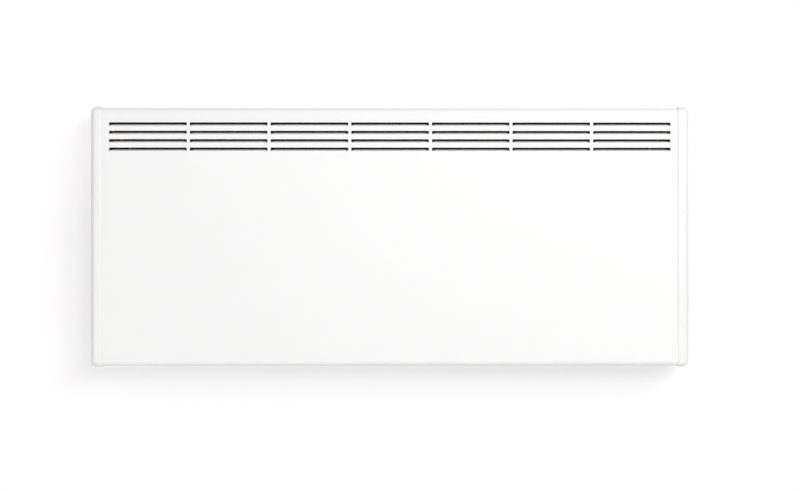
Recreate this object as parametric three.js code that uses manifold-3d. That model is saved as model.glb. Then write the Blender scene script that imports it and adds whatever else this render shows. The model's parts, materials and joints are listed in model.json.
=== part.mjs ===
// A wall panel convector heater: a louvred steel casing with moulded end caps, hung on a wall bracket.
// Millimetres, +Z up. The wall is the plane y = 0 and the heater's front faces -Y.
// The origin is the middle of the wall bracket's back face, level with the heater's middle.

import * as THREE from 'three';
import { mergeVertices } from 'three/addons/utils/BufferGeometryUtils.js';
import Module from 'manifold-3d';

const wasm = await Module();
wasm.setup();

// ---- Driving dimensions ----

const WIDTH = 850; // over both end caps
const HEIGHT = 370; // of the end caps
const DEPTH = 85; // wall to the end caps' front
const WALL_SPACE = 22; // wall to the casing's back
const GAP = 0.3; // between two pieces that touch

const CAP_WIDTH = 16; // of an end cap seen from the front
const CAP_WALL = 2;
const CAP_FILLET = 9; // outer edges
const CAP_CORNER = 8.8; // top and bottom front corners seen from the side
const CAP_INNER_FILLET = 1.2; // edge that meets the panel
const PANEL_INSET = 1.8; // panel face behind the caps' front
const PANEL_DROP = 2.2; // panel top below the caps' top
const PANEL_RISE = 1.8; // panel bottom above the caps' bottom
const PANEL_TUCK = 7; // panel end inside a cap
const SHEET = 1; // casing steel
const PANEL_FOLD = 6.5; // mid-sheet bend radius at the front
const BACK_FOLD = 3.5;

const LOUVRE_ROWS = 4;
const LOUVRE_COLUMNS = 7;
const ROW_PITCH = 11.9;
const COLUMN_PITCH = 114.5;
const LOUVRE_LENGTH = 110;
const LOUVRE_HEIGHT = 5.7; // of the opening cut in the sheet
const LOUVRE_DROP = 20.5; // panel top to the first opening's top
const BLADE_TILT = THREE.MathUtils.degToRad(60); // blade leaning in from upright
const BLADE_CORNER = 5; // slanted end of a blade

const HOOK_X = 194.25; // middle of a hook's sheet
const HOOK_SEAT = 100; // height at which the casing hangs
const LIFT = 12; // travel that frees the casing from the hooks
const BRACKET_SHEET = 1.5;

const RECESS_Y = -53; // middle of the control recess
const RECESS_WIDTH = 44;
const RECESS_TOP = -50;
const RECESS_BOTTOM = -145;
const RECESS_FLOOR = 410; // x of the face behind the knob
const KNOB_Z = -75;
const KNOB_RADIUS = 15;
const LAMP_Z = -103;
const SWITCH_Z = -125;
const ROCKER_X = 407.5; // rocker's pivot
const ROCKER_TILT = THREE.MathUtils.degToRad(8); // either way from level

const ELEMENT_Y = -53;
const ELEMENT_Z = -60;
const ELEMENT_LEFT = -350;
const ELEMENT_RIGHT = 290;
const LEAD_RADIUS = 1.3;
const CAPILLARY_RADIUS = 0.9;

// ---- Places worked out from them ----

const HALF_WIDTH = WIDTH / 2;
const HALF_HEIGHT = HEIGHT / 2;
const FRONT = -DEPTH;
const BACK = -WALL_SPACE;
const CAP_INNER = HALF_WIDTH - CAP_WIDTH;
const PANEL_FRONT = FRONT + PANEL_INSET;
const PANEL_TOP = HALF_HEIGHT - PANEL_DROP;
const PANEL_BOTTOM = -HALF_HEIGHT + PANEL_RISE;
const PANEL_END = CAP_INNER + PANEL_TUCK;
const BACK_INNER = BACK - SHEET; // front of the back panel's sheet
const LIP_BACK = BACK_INNER - GAP; // back of what rests on the back panel
const FLOOR_TOP = PANEL_BOTTOM + 2 * SHEET + GAP; // top of the back panel's bottom flange
const LOUVRE_TOP = PANEL_TOP - LOUVRE_DROP;
const PLATE_X = 404; // inner face of an end plate

// ---- Solids ----

// Turns a closed geometry into a solid for joining and cutting.
function solid(geometry) {
  const bare = geometry.index ? geometry.toNonIndexed() : geometry.clone();
  bare.deleteAttribute('normal');
  bare.deleteAttribute('uv');
  const merged = mergeVertices(bare, 1e-4);
  return new wasm.Manifold(new wasm.Mesh({
    numProp: 3,
    vertProperties: new Float32Array(merged.attributes.position.array),
    triVerts: new Uint32Array(merged.index.array),
  }));
}

function geometryOf(manifold) {
  const mesh = manifold.getMesh();
  const geometry = new THREE.BufferGeometry();
  geometry.setAttribute('position', new THREE.BufferAttribute(new Float32Array(mesh.vertProperties), 3));
  geometry.setIndex(new THREE.BufferAttribute(new Uint32Array(mesh.triVerts), 1));
  geometry.computeVertexNormals();
  return geometry;
}

function joined(...parts) {
  return geometryOf(parts.map(solid).reduce((whole, part) => whole.add(part)));
}

function cut(body, ...tools) {
  return geometryOf(tools.map(solid).reduce((whole, tool) => whole.subtract(tool), solid(body)));
}

function common(...parts) {
  return geometryOf(parts.map(solid).reduce((whole, part) => whole.intersect(part)));
}

function block(x0, x1, y0, y1, z0, z1) {
  const geometry = new THREE.BoxGeometry(x1 - x0, y1 - y0, z1 - z0);
  return geometry.translate((x0 + x1) / 2, (y0 + y1) / 2, (z0 + z1) / 2);
}

// A round bar whose axis runs from one end to the other along 'x', 'y' or 'z'.
function bar(axis, from, to, radius, [a, b] = [0, 0], sides = 16) {
  const geometry = new THREE.CylinderGeometry(radius, radius, to - from, sides);
  const middle = (from + to) / 2;
  if (axis === 'x') return geometry.rotateZ(-Math.PI / 2).translate(middle, a, b);
  if (axis === 'y') return geometry.translate(a, middle, b);
  return geometry.rotateX(Math.PI / 2).translate(a, b, middle);
}

function hexBar(axis, from, to, acrossFlats, centre) {
  return bar(axis, from, to, acrossFlats / Math.sqrt(3), centre, 6);
}

// ---- Outlines ----

// Rounds each corner of a polygon by its own radius.
function rounded(corners, radii, steps = 4) {
  const points = [];
  corners.forEach(([x, y], i) => {
    const radius = Array.isArray(radii) ? radii[i] : radii;
    const here = new THREE.Vector2(x, y);
    if (!radius) {
      points.push(here);
      return;
    }
    const before = new THREE.Vector2(...corners.at(i - 1)).sub(here).normalize();
    const after = new THREE.Vector2(...corners[(i + 1) % corners.length]).sub(here).normalize();
    const half = Math.acos(before.dot(after)) / 2;
    const middle = before.clone().add(after).normalize().multiplyScalar(radius / Math.sin(half)).add(here);
    const start = before.multiplyScalar(radius / Math.tan(half)).add(here).sub(middle);
    const end = after.multiplyScalar(radius / Math.tan(half)).add(here).sub(middle);
    const turn = Math.atan2(start.cross(end), start.dot(end));
    for (let step = 0; step <= steps; step++) {
      points.push(start.clone().rotateAround(new THREE.Vector2(), (turn * step) / steps).add(middle));
    }
  });
  return points;
}

function rectangle(a0, a1, b0, b1, radii = 0, steps = 4) {
  return rounded([[a0, b0], [a1, b0], [a1, b1], [a0, b1]], radii, steps);
}

// The outline of a folded sheet, from the middle line of its thickness and one radius or each bend's.
function folded(path, thickness, radii, steps = 4) {
  const left = [];
  const right = [];
  const put = (point, normal) => {
    left.push(point.clone().addScaledVector(normal, thickness / 2));
    right.unshift(point.clone().addScaledVector(normal, -thickness / 2));
  };
  const points = path.map(([a, b]) => new THREE.Vector2(a, b));
  const normals = points.slice(1).map((point, i) => {
    const along = point.clone().sub(points[i]).normalize();
    return new THREE.Vector2(-along.y, along.x);
  });
  put(points[0], normals[0]);
  for (let i = 1; i < normals.length; i++) {
    const [before, after] = [normals[i - 1], normals[i]];
    const turn = Math.atan2(before.cross(after), before.dot(after));
    const reach = Math.sign(turn) * (Array.isArray(radii) ? radii[i - 1] : radii);
    const middle = points[i].clone()
      .addScaledVector(before.clone().add(after), reach / (1 + Math.cos(turn)));
    for (let step = 0; step <= steps; step++) {
      const normal = before.clone().rotateAround(new THREE.Vector2(), (turn * step) / steps);
      put(middle.clone().addScaledVector(normal, -reach), normal);
    }
  }
  put(points.at(-1), normals.at(-1));
  return left.concat(right);
}

function extruded(outline, depth, holes = []) {
  const shape = new THREE.Shape(outline);
  holes.forEach((hole) => shape.holes.push(new THREE.Path(hole)));
  return new THREE.ExtrudeGeometry(shape, { depth, bevelEnabled: false });
}

// Outline in (y, z), solid from x0 to x1.
function alongX(outline, x0, x1, holes) {
  const turn = new THREE.Matrix4().makeBasis(
    new THREE.Vector3(0, 1, 0), new THREE.Vector3(0, 0, 1), new THREE.Vector3(1, 0, 0));
  return extruded(outline, x1 - x0, holes).applyMatrix4(turn).translate(x0, 0, 0);
}

// Outline in (x, z), solid from y0 to y1.
function alongY(outline, y0, y1, holes) {
  return extruded(outline, y1 - y0, holes).rotateX(Math.PI / 2).translate(0, y1, 0);
}

// Outline in (x, y), solid from z0 to z1.
function alongZ(outline, z0, z1, holes) {
  return extruded(outline, z1 - z0, holes).translate(0, 0, z0);
}

function circle(radius, centre = [0, 0], sides = 12) {
  return Array.from({ length: sides }, (_, i) => new THREE.Vector2(
    centre[0] + radius * Math.cos((2 * Math.PI * i) / sides),
    centre[1] + radius * Math.sin((2 * Math.PI * i) / sides)));
}

// ---- Bent tubes and leads ----

// A line through corners, each rounded by a short bend, sampled only where it bends.
class Route extends THREE.Curve {
  constructor(corners, bend, steps = 4) {
    super();
    const spots = corners.map((corner) => new THREE.Vector3(...corner));
    this.stops = [spots[0]];
    for (let i = 1; i < spots.length - 1; i++) {
      const [before, here, after] = [spots[i - 1], spots[i], spots[i + 1]];
      const reach = Math.min(bend, before.distanceTo(here) / 2.2, after.distanceTo(here) / 2.2);
      const start = before.clone().sub(here).setLength(reach).add(here);
      const end = after.clone().sub(here).setLength(reach).add(here);
      this.stops.push(...new THREE.QuadraticBezierCurve3(start, here, end).getPoints(steps));
    }
    this.stops.push(spots.at(-1));
  }

  getPoint(share, target = new THREE.Vector3()) {
    const place = share * (this.stops.length - 1);
    const index = Math.min(Math.floor(place), this.stops.length - 2);
    return target.lerpVectors(this.stops[index], this.stops[index + 1], place - index);
  }

  getPointAt(share, target) {
    return this.getPoint(share, target);
  }

  getTangentAt(share, target = new THREE.Vector3()) {
    const index = Math.round(share * (this.stops.length - 1));
    const last = this.stops.length - 1;
    const before = this.stops[Math.max(index - 1, 0)];
    const here = this.stops[index];
    const after = this.stops[Math.min(index + 1, last)];
    target.set(0, 0, 0);
    if (index > 0) target.add(here.clone().sub(before).normalize());
    if (index < last) target.add(after.clone().sub(here).normalize());
    return target.normalize();
  }
}

function tube(corners, radius, bend = 6, sides = 8) {
  const route = new Route(corners, bend);
  return new THREE.ExtrudeGeometry(new THREE.Shape(circle(radius, [0, 0], sides)), {
    steps: route.stops.length - 1,
    extrudePath: route,
    bevelEnabled: false,
  });
}

// ---- Finishes and placing ----

const WHITE_PAINT = { color: 0xf4f4f3, roughness: 0.5, metalness: 0 };
const WHITE_PLASTIC = { color: 0xf2f2f1, roughness: 0.45, metalness: 0 };
const GREY_PLASTIC = { color: 0xb9bbbd, roughness: 0.55, metalness: 0 };
const DARK_PLASTIC = { color: 0x2b2c2e, roughness: 0.5, metalness: 0 };
const ZINC = { color: 0xb4b7b8, roughness: 0.42, metalness: 1 };
const ALUMINIUM = { color: 0xc4c6c8, roughness: 0.4, metalness: 1 };
const STEEL = { color: 0x8d9092, roughness: 0.35, metalness: 1 };
const BRASS = { color: 0xc3a04f, roughness: 0.35, metalness: 1 };
const COPPER = { color: 0xc77f55, roughness: 0.35, metalness: 1 };
const CERAMIC = { color: 0xe9e4d8, roughness: 0.6, metalness: 0 };
const RUBBER = { color: 0x222224, roughness: 0.85, metalness: 0 };
const LAMP_RED = { color: 0xd8402c, roughness: 0.2, metalness: 0 };
const BROWN_LEAD = { color: 0x6b4327, roughness: 0.55, metalness: 0 };
const BLUE_LEAD = { color: 0x2f62a8, roughness: 0.55, metalness: 0 };
const EARTH_LEAD = { color: 0x6f9a35, roughness: 0.55, metalness: 0 };

function place(parent, name, geometry, finish, position = [0, 0, 0], rotation = [0, 0, 0]) {
  const mesh = new THREE.Mesh(geometry, new THREE.MeshStandardMaterial(finish));
  mesh.name = name;
  mesh.position.set(...position);
  mesh.rotation.set(...rotation);
  parent.add(mesh);
}

// ---- Wall bracket ----

// One hook: the outline of an upright's outer flange, as depth from the wall and height.
function hookFlange() {
  const outline = [
    [0, -125], [15.5, -125], [15.5, -92], [8, -84], [8, 72], [16, 84], [23.5, 87], [27.7, 91],
    [27.7, 108], [25.7, 110], [23.7, 108], [23.7, HOOK_SEAT], [21.3, HOOK_SEAT], [21.3, 104],
    [18, 118], [10, 125], [0, 125],
  ];
  return alongX(outline.map(([depth, z]) => new THREE.Vector2(-depth, z)).reverse(),
    HOOK_X - BRACKET_SHEET / 2, HOOK_X + BRACKET_SHEET / 2);
}

function wallBracket() {
  const outer = HOOK_X + BRACKET_SHEET / 2;
  const inner = outer - 30;
  const hole = circle(3.25, [outer - 15, 108]);
  const lowHole = circle(3.25, [outer - 15, -108]);
  const upright = joined(
    alongY(rectangle(inner, outer, -125, 125, 3), -BRACKET_SHEET, 0, [hole, lowHole]),
    hookFlange(),
    block(inner, inner + BRACKET_SHEET, -15.5, 0, -122, -92),
    block(inner, inner + BRACKET_SHEET, -8, 0, -92, 118),
    block(inner, outer, -15.5, -15.5 + BRACKET_SHEET, -122, -94));
  const other = geometryOf(solid(upright).mirror([1, 0, 0]));
  const slots = [-90, 90].map((x) => rectangle(x - 11, x + 11, -3.25, 3.25, 3.2));
  const crossBar = alongY(rectangle(-inner - 5, inner + 5, -30, 30), -BRACKET_SHEET, 0, slots);
  const edges = [-30, 30 - BRACKET_SHEET].map((z) =>
    block(-inner - 1, inner + 1, -8, 0, z, z + BRACKET_SHEET));
  return joined(upright, other, crossBar, ...edges);
}

function bumper() {
  const [start, end] = [-15.5 - GAP, BACK + GAP];
  return joined(bar('y', end, start, 7), bar('y', end + 2, start, 8.5));
}

function addWallSide(parent) {
  place(parent, 'wall_bracket', wallBracket(), ZINC);
  for (const [side, name] of [[-1, 'bumper_left'], [1, 'bumper_right']]) {
    place(parent, name, bumper(), RUBBER, [side * (HOOK_X - 14), 0, -108]);
  }
}

// ---- Casing ----

function louvreOpening(x, top) {
  return block(x - LOUVRE_LENGTH / 2, x + LOUVRE_LENGTH / 2,
    PANEL_FRONT - 1, PANEL_FRONT + SHEET + 1, top - LOUVRE_HEIGHT, top);
}

// A blade is the tongue cut from its opening, bent in from the opening's lower edge.
function louvreBlade(x, top) {
  const root = top - LOUVRE_HEIGHT;
  const middle = PANEL_FRONT + SHEET / 2;
  const bend = root + 0.6;
  const reach = LOUVRE_HEIGHT - 0.6;
  const tip = [middle + reach * Math.sin(BLADE_TILT), bend + reach * Math.cos(BLADE_TILT)];
  const section = folded([[middle, root - 0.8], [middle, bend], tip], SHEET * 0.9, 1.6, 3);
  const half = LOUVRE_LENGTH / 2 - 0.05;
  const sides = [
    [x - half, root - 2], [x + half, root - 2], [x + half, root + 0.9],
    [x + half - BLADE_CORNER, top], [x - half + BLADE_CORNER, top], [x - half, root + 0.9],
  ].map(([a, b]) => new THREE.Vector2(a, b));
  return common(alongX(section, x - half, x + half), alongY(sides, PANEL_FRONT - 2, tip[0] + 2));
}

function louvrePlaces() {
  const places = [];
  for (let row = 0; row < LOUVRE_ROWS; row++) {
    for (let column = 0; column < LOUVRE_COLUMNS; column++) {
      const x = (column - (LOUVRE_COLUMNS - 1) / 2) * COLUMN_PITCH;
      places.push([x, LOUVRE_TOP - row * ROW_PITCH]);
    }
  }
  return places;
}

const TOP_SCREWS = [-300, 0, 300].map((x) => [x, PANEL_TOP - 6.8]);
const BOTTOM_SCREWS = [-304, 0, 304].map((x) => [x, -37]);
const TAB = { half: 6, back: -31 }; // of the front panel, between two inlet slots
const CAP_SCREW_X = 409;
const CAP_SCREWS = [-164, 164];
const SCREW_RADIUS = 1.9;
const SCREW_HOLE = 2.3;

function frontPanel() {
  const [back, front] = [LIP_BACK - SHEET / 2, PANEL_FRONT + SHEET / 2];
  const [top, bottom] = [PANEL_TOP - SHEET / 2, PANEL_BOTTOM + SHEET / 2];
  const section = folded([
    [back, top - 12.3], [back, top], [front, top], [front, bottom], [front + 21.5, bottom],
  ], SHEET, [BACK_FOLD, PANEL_FOLD, PANEL_FOLD]);
  const lipEnds = [-1, 1].map((side) => {
    const [near, far] = side < 0 ? [-PANEL_END - 1, -PLATE_X + 2] : [PLATE_X - 2, PANEL_END + 1];
    return block(near, far, LIP_BACK - 3.2, LIP_BACK + 1, 160, top - SHEET / 2);
  });
  const holes = [
    ...TOP_SCREWS.map(([x, z]) => bar('y', LIP_BACK - 3, LIP_BACK + 1, SCREW_HOLE, [x, z], 12)),
    ...BOTTOM_SCREWS.map(([x, y]) => bar('z', PANEL_BOTTOM - 1, FLOOR_TOP, SCREW_HOLE, [x, y], 12)),
  ];
  const openings = louvrePlaces().map(([x, top]) => louvreOpening(x, top));
  const tabs = BOTTOM_SCREWS.map(([x]) =>
    alongZ(rectangle(x - TAB.half, x + TAB.half, PANEL_FRONT + 20, TAB.back, [0, 0, 3, 3]),
      PANEL_BOTTOM, PANEL_BOTTOM + SHEET));
  const sheet = cut(joined(alongX(section, -PANEL_END, PANEL_END), ...tabs), ...lipEnds, ...holes, ...openings);
  return joined(sheet, ...louvrePlaces().map(([x, top]) => louvreBlade(x, top)));
}

const GLAND = [366, -148]; // x and z of the cable gland

function inletSlots() {
  const slots = [];
  for (const y of [-52, -42, -32]) {
    for (let column = 0; column < 10; column++) {
      const x = -342 + column * 76;
      slots.push(rectangle(x - 31, x + 31, y - 3, y + 3, 2.9, 2));
    }
  }
  return slots.map((slot) => alongZ(slot, PANEL_BOTTOM - 1, FLOOR_TOP + 1));
}

function backPanel() {
  const section = folded([
    [BACK - SHEET / 2, PANEL_TOP], [BACK - SHEET / 2, FLOOR_TOP - SHEET / 2],
    [PANEL_FRONT + SHEET + 6.2, FLOOR_TOP - SHEET / 2],
  ], SHEET, 2);
  const through = (radius, [x, z], sides = 12) => bar('y', BACK_INNER - 1, BACK + 1, radius, [x, z], sides);
  const hookSlots = [-HOOK_X, HOOK_X].map((x) =>
    block(x - 1.6, x + 1.6, BACK_INNER - 1, BACK + 1, 87 - LIFT - 2, HOOK_SEAT + GAP));
  return cut(
    alongX(section, -PANEL_END, PANEL_END),
    ...hookSlots,
    ...inletSlots(),
    through(8 + GAP, GLAND, 16),
    ...TOP_SCREWS.map((spot) => through(SCREW_HOLE, spot)),
    ...[-CAP_SCREW_X, CAP_SCREW_X].flatMap((x) => CAP_SCREWS.map((z) => through(SCREW_HOLE, [x, z]))),
    ...BOTTOM_SCREWS.map(([x, y]) =>
      bar('z', PANEL_BOTTOM - 1, FLOOR_TOP + 1, SCREW_HOLE, [x, y], 12)));
}

// A shallow tray that closes the casing's right end, open towards the end cap.
function endPlate(window) {
  const [front, back] = [PANEL_FRONT + SHEET + GAP, LIP_BACK];
  const [bottom, top] = [FLOOR_TOP + GAP, PANEL_TOP - SHEET - GAP];
  const tray = cut(
    alongX(rectangle(front, back, bottom, top, [5, 3.2, 3.2, 5.7], 3), PLATE_X, PLATE_X + 9),
    alongX(rectangle(front + SHEET, back - SHEET, bottom + SHEET, top - SHEET, [4, 2.2, 2.2, 4.7], 3),
      PLATE_X + SHEET, PLATE_X + 10),
    ...CAP_SCREWS.map((z) => bar('y', back - 2, back + 1, SCREW_HOLE, [CAP_SCREW_X, z], 12)));
  return window ? cut(tray, window) : tray;
}

// The shared shape of cap and cavity: three outlines, each extruded across the other two.
function pillow([x0, x1], [y0, y1], [z0, z1], outer, corner, inner, back) {
  const side = alongX(rectangle(y0, y1, z0, z1, [corner, back, back, corner]), x0 - 1, x1 + 1);
  const plan = alongZ(rectangle(x0, x1, y0, y1, [inner, outer, back, 0]), z0 - 1, z1 + 1);
  const face = alongY(rectangle(x0, x1, z0, z1, [inner, outer, outer, inner]), y0 - 1, y1 + 1);
  return common(side, plan, face);
}

const LIP = 1.5; // thickness of a cap where it covers the panel

function endCap(window) {
  const shell = pillow([CAP_INNER, HALF_WIDTH], [FRONT, BACK], [-HALF_HEIGHT, HALF_HEIGHT],
    CAP_FILLET, CAP_CORNER, CAP_INNER_FILLET, 1.5);
  const cavity = pillow([CAP_INNER - 8, HALF_WIDTH - CAP_WALL], [PANEL_FRONT - GAP, BACK - CAP_WALL],
    [PANEL_BOTTOM - GAP, PANEL_TOP + GAP], CAP_FILLET - 2, CAP_CORNER - LIP, 0, 0);
  const panelEnd = block(CAP_INNER - 8, PANEL_END + GAP, BACK - 10, BACK + 1,
    PANEL_BOTTOM - GAP, PANEL_TOP + GAP);
  const bosses = CAP_SCREWS.map((z) =>
    block(PLATE_X + SHEET + GAP, HALF_WIDTH - CAP_WALL + 0.5, -40, LIP_BACK - SHEET - GAP, z - 5, z + 5));
  const pilots = CAP_SCREWS.map((z) => bar('y', -36.5, BACK, SCREW_RADIUS + GAP, [CAP_SCREW_X, z], 12));
  const cap = cut(joined(cut(shell, cavity, panelEnd), ...bosses), ...pilots);
  return window ? cut(cap, window) : cap;
}

function mirrored(geometry) {
  return geometryOf(solid(geometry).mirror([1, 0, 0]));
}

// A pan-head screw pointing along +Z from the underside of its head, with a cross recess.
function screw(headRadius, headHeight, length) {
  const profile = [
    [0, -headHeight], [headRadius * 0.7, -headHeight], [headRadius, -headHeight * 0.45],
    [headRadius, 0], [SCREW_RADIUS, 0], [SCREW_RADIUS, length - 2], [0.4, length], [0, length],
  ].map(([radius, height]) => new THREE.Vector2(radius, height));
  const turned = new THREE.LatheGeometry(profile, 9).rotateX(Math.PI / 2);
  const arm = headRadius * 0.5;
  const depth = headHeight * 0.6;
  return cut(turned,
    block(-arm, arm, -0.4, 0.4, -headHeight - 1, -headHeight + depth),
    block(-0.4, 0.4, -arm, arm, -headHeight - 1, -headHeight + depth));
}

function addScrews(parent) {
  const inward = [Math.PI / 2, 0, 0];
  TOP_SCREWS.forEach(([x, z], i) =>
    place(parent, `top_screw_${i + 1}`, screw(3.8, 2, 8), ZINC, [x, BACK + GAP, z], inward));
  BOTTOM_SCREWS.forEach(([x, y], i) =>
    place(parent, `bottom_screw_${i + 1}`, screw(3.4, 1.4, 8), ZINC, [x, y, PANEL_BOTTOM - GAP]));
  for (const [side, end] of [[-1, 'left'], [1, 'right']]) {
    CAP_SCREWS.forEach((z) => place(parent, `cap_screw_${end}_${z < 0 ? 'low' : 'high'}`,
      screw(3.8, 2, 13), ZINC, [side * CAP_SCREW_X, BACK + GAP, z], inward));
  }
}

function addCasing(parent) {
  const bezel = bezelSize(GAP);
  const capWindow = alongX(rectangle(...bezel, 5, 3), CAP_INNER, HALF_WIDTH + 1);
  const plateWindow = block(PLATE_X - 1, PLATE_X + 2, -74, -32, -142, -53);
  place(parent, 'back_panel', backPanel(), ZINC);
  place(parent, 'front_panel', frontPanel(), WHITE_PAINT);
  place(parent, 'end_plate_left', mirrored(endPlate()), ZINC);
  place(parent, 'end_plate_right', endPlate(plateWindow), ZINC);
  place(parent, 'end_cap_left', mirrored(endCap()), WHITE_PLASTIC);
  place(parent, 'end_cap_right', endCap(capWindow), WHITE_PLASTIC);
  addScrews(parent);
}

// ---- Controls in the right end cap ----

const BEZEL_WALL = 1.5;

function bezelSize(grow) {
  const half = RECESS_WIDTH / 2 + BEZEL_WALL + grow;
  return [RECESS_Y - half, RECESS_Y + half,
    RECESS_BOTTOM - BEZEL_WALL - grow, RECESS_TOP + BEZEL_WALL + grow];
}

function controlBezel() {
  const outside = alongX(rectangle(...bezelSize(0), 4.7, 3), RECESS_FLOOR - 2, HALF_WIDTH - GAP);
  const recess = alongX(rectangle(...bezelSize(-BEZEL_WALL), 3.2, 3), RECESS_FLOOR, HALF_WIDTH + 1);
  const [front, back, bottom, top] = bezelSize(0);
  const feet = [[front, bottom], [back - 5, bottom], [front, top - 5], [back - 5, top - 5]].map(([y, z]) =>
    block(PLATE_X + SHEET + GAP, RECESS_FLOOR - 1, y + (y === front ? 0.5 : -0.5), y + 5, z, z + 5));
  return cut(joined(cut(outside, recess), ...feet),
    bar('x', RECESS_FLOOR - 4, RECESS_FLOOR + 1, 4.5 + GAP, [RECESS_Y, KNOB_Z]),
    bar('x', RECESS_FLOOR - 4, RECESS_FLOOR + 1, 2.7 + GAP, [RECESS_Y, LAMP_Z]),
    block(RECESS_FLOOR - 4, RECESS_FLOOR + 1, RECESS_Y - 6.5, RECESS_Y + 6.5, SWITCH_Z - 9.6, SWITCH_Z + 9.6));
}

// The thermostat's parts lie along the X axis, measured from the recess's floor.
function thermostatBody() {
  const box = alongX(rectangle(-17, 17, -19, 19, 2, 2), -26, -2 - GAP);
  return cut(joined(box, bar('x', -3, 2.5, 4.5)), bar('x', -14, 3, 3 + GAP));
}

function thermostatNut() {
  return cut(hexBar('x', GAP, 2.5, 13), bar('x', -1, 4, 4.5 + GAP));
}

function thermostatShaft() {
  return bar('x', -12, 10, 3);
}

function thermostatKnob() {
  const skirt = bar('x', 0.8, 4.5, KNOB_RADIUS, [0, 0], 36);
  const grip = alongX(rectangle(-4.2, 4.2, -13, 13, 3, 3), 4, 12.5);
  const hub = bar('x', 4, 9, 9, [0, 0], 24);
  return cut(joined(skirt, grip, hub),
    bar('x', 0, 3.2, 8.3),
    bar('x', 0, 10.4, 3 + GAP));
}

const ROCKER_LENGTH = 14.4;
const ROCKER_WIDTH = 9.6;
const PIN_RADIUS = 1;

// The switch's parts lie about the rocker's pivot.
function switchHousing() {
  const flange = alongX(rectangle(-7.5, 7.5, -10.5, 10.5, 1.5, 2), RECESS_FLOOR + GAP - ROCKER_X, 4.5);
  const body = block(-11.5, RECESS_FLOOR + GAP - ROCKER_X + 0.5, -6.2, 6.2, -9.3, 9.3);
  return cut(joined(flange, body),
    block(-6.5, 5, -5.1, 5.1, -8.3, 8.3),
    bar('y', -7, 7, PIN_RADIUS + GAP, [0, 0], 12));
}

function switchRocker() {
  const half = ROCKER_LENGTH / 2;
  const outline = [
    [-4, -3.5], [1.5, -half], [6.2, -half], [5.4, -half / 2], [5.1, 0], [5.4, half / 2],
    [6.2, half], [1.5, half], [-4, 3.5],
  ].map(([x, z]) => new THREE.Vector2(x, z));
  return cut(alongY(outline, -ROCKER_WIDTH / 2, ROCKER_WIDTH / 2),
    bar('y', -6, 6, PIN_RADIUS + GAP, [0, 0], 12));
}

function indicatorLamp() {
  const profile = [[0, -9], [2.7, -9], [2.7, GAP], [3.8, GAP], [3.8, 0.9], [2.9, 1.7], [1.4, 2.2], [0, 2.3]]
    .map(([radius, height]) => new THREE.Vector2(radius, height));
  return new THREE.LatheGeometry(profile, 16).rotateZ(-Math.PI / 2);
}

function addControls(parent) {
  place(parent, 'control_bezel', controlBezel(), GREY_PLASTIC);
  const thermostat = new THREE.Group();
  thermostat.position.set(RECESS_FLOOR, RECESS_Y, KNOB_Z);
  parent.add(thermostat);
  place(thermostat, 'thermostat_body', thermostatBody(), DARK_PLASTIC);
  place(thermostat, 'thermostat_nut', thermostatNut(), STEEL);
  place(thermostat, 'thermostat_shaft', thermostatShaft(), STEEL);
  place(thermostat, 'thermostat_knob', thermostatKnob(), WHITE_PLASTIC);
  place(parent, 'indicator_lamp', indicatorLamp(), LAMP_RED, [RECESS_FLOOR, RECESS_Y, LAMP_Z]);
  const rockerSwitch = new THREE.Group();
  rockerSwitch.position.set(ROCKER_X, RECESS_Y, SWITCH_Z);
  parent.add(rockerSwitch);
  place(rockerSwitch, 'switch_housing', switchHousing(), DARK_PLASTIC);
  place(rockerSwitch, 'switch_rocker', switchRocker(), WHITE_PLASTIC, [0, 0, 0], [0, -ROCKER_TILT, 0]);
  place(rockerSwitch, 'rocker_pin', bar('y', -6, 6, PIN_RADIUS, [0, 0], 12), STEEL);
}

// ---- Control box and what it holds ----

const BOX_WALL = 2;
const BOX = { x0: 340, x1: PLATE_X - GAP, y0: -78, y1: -28, z0: -165, z1: -35 };
const CUTOUT_X = 360;
const CUTOUT_Y = -56;
const BULB_Y = -42;
const BULB_Z = -171;
const EARTH_EXIT = [-38, -118]; // y and z where the leads leave through the box's left wall
const RETURN_EXIT = [-40, -135];
const ELEMENT_EXIT = [-54.5, -72];
const EXIT_RADIUS = 2.2;

function controlBox() {
  const { x0, x1, y0, y1, z0, z1 } = BOX;
  const inside = block(x0 + BOX_WALL, x1 + 1, y0 + BOX_WALL, y1 - BOX_WALL, z0 + BOX_WALL, z1 - BOX_WALL);
  const exits = [EARTH_EXIT, RETURN_EXIT, ELEMENT_EXIT].map((spot) =>
    bar('x', x0 - 1, x0 + BOX_WALL + 1, EXIT_RADIUS, spot, 12));
  return cut(alongX(rectangle(y0, y1, z0, z1, 3, 3), x0, x1), inside, ...exits,
    bar('y', y1 - BOX_WALL - 1, y1 + 1, 8 + GAP, GLAND),
    bar('z', z1 - BOX_WALL - 1, z1 + 1, 2.8, [CUTOUT_X, CUTOUT_Y], 12),
    bar('z', z0 - 1, z0 + BOX_WALL + 1, EXIT_RADIUS, [392, BULB_Y], 12));
}

function terminalBlock() {
  const [x0, x1, z0, z1] = [350, 380, -128, -104];
  const back = BOX.y1 - BOX_WALL - GAP;
  const wells = [0, 1, 2].flatMap((i) => [-122, -110].map((z) =>
    bar('y', back - 17, back - 12, 2.6, [x0 + 5 + 10 * i, z], 10)));
  const grooves = [1, 2].map((i) => block(x0 + 10 * i - 0.6, x0 + 10 * i + 0.6, back - 17, back - 11, z0 - 1, z1 + 1));
  return cut(block(x0, x1, back - 15.7, back, z0, z1), ...wells, ...grooves);
}

function cableGland() {
  const profile = [
    [4, -36], [8, -36], [8, BACK + GAP], [11, BACK + GAP], [11, BACK + 4.5], [9.8, BACK + 5],
    [9.2, BACK + 9.5], [7, BACK + 12], [4, BACK + 12],
  ].map(([radius, height]) => new THREE.Vector2(radius, height));
  profile.push(profile[0].clone());
  return new THREE.LatheGeometry(profile, 20);
}

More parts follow.
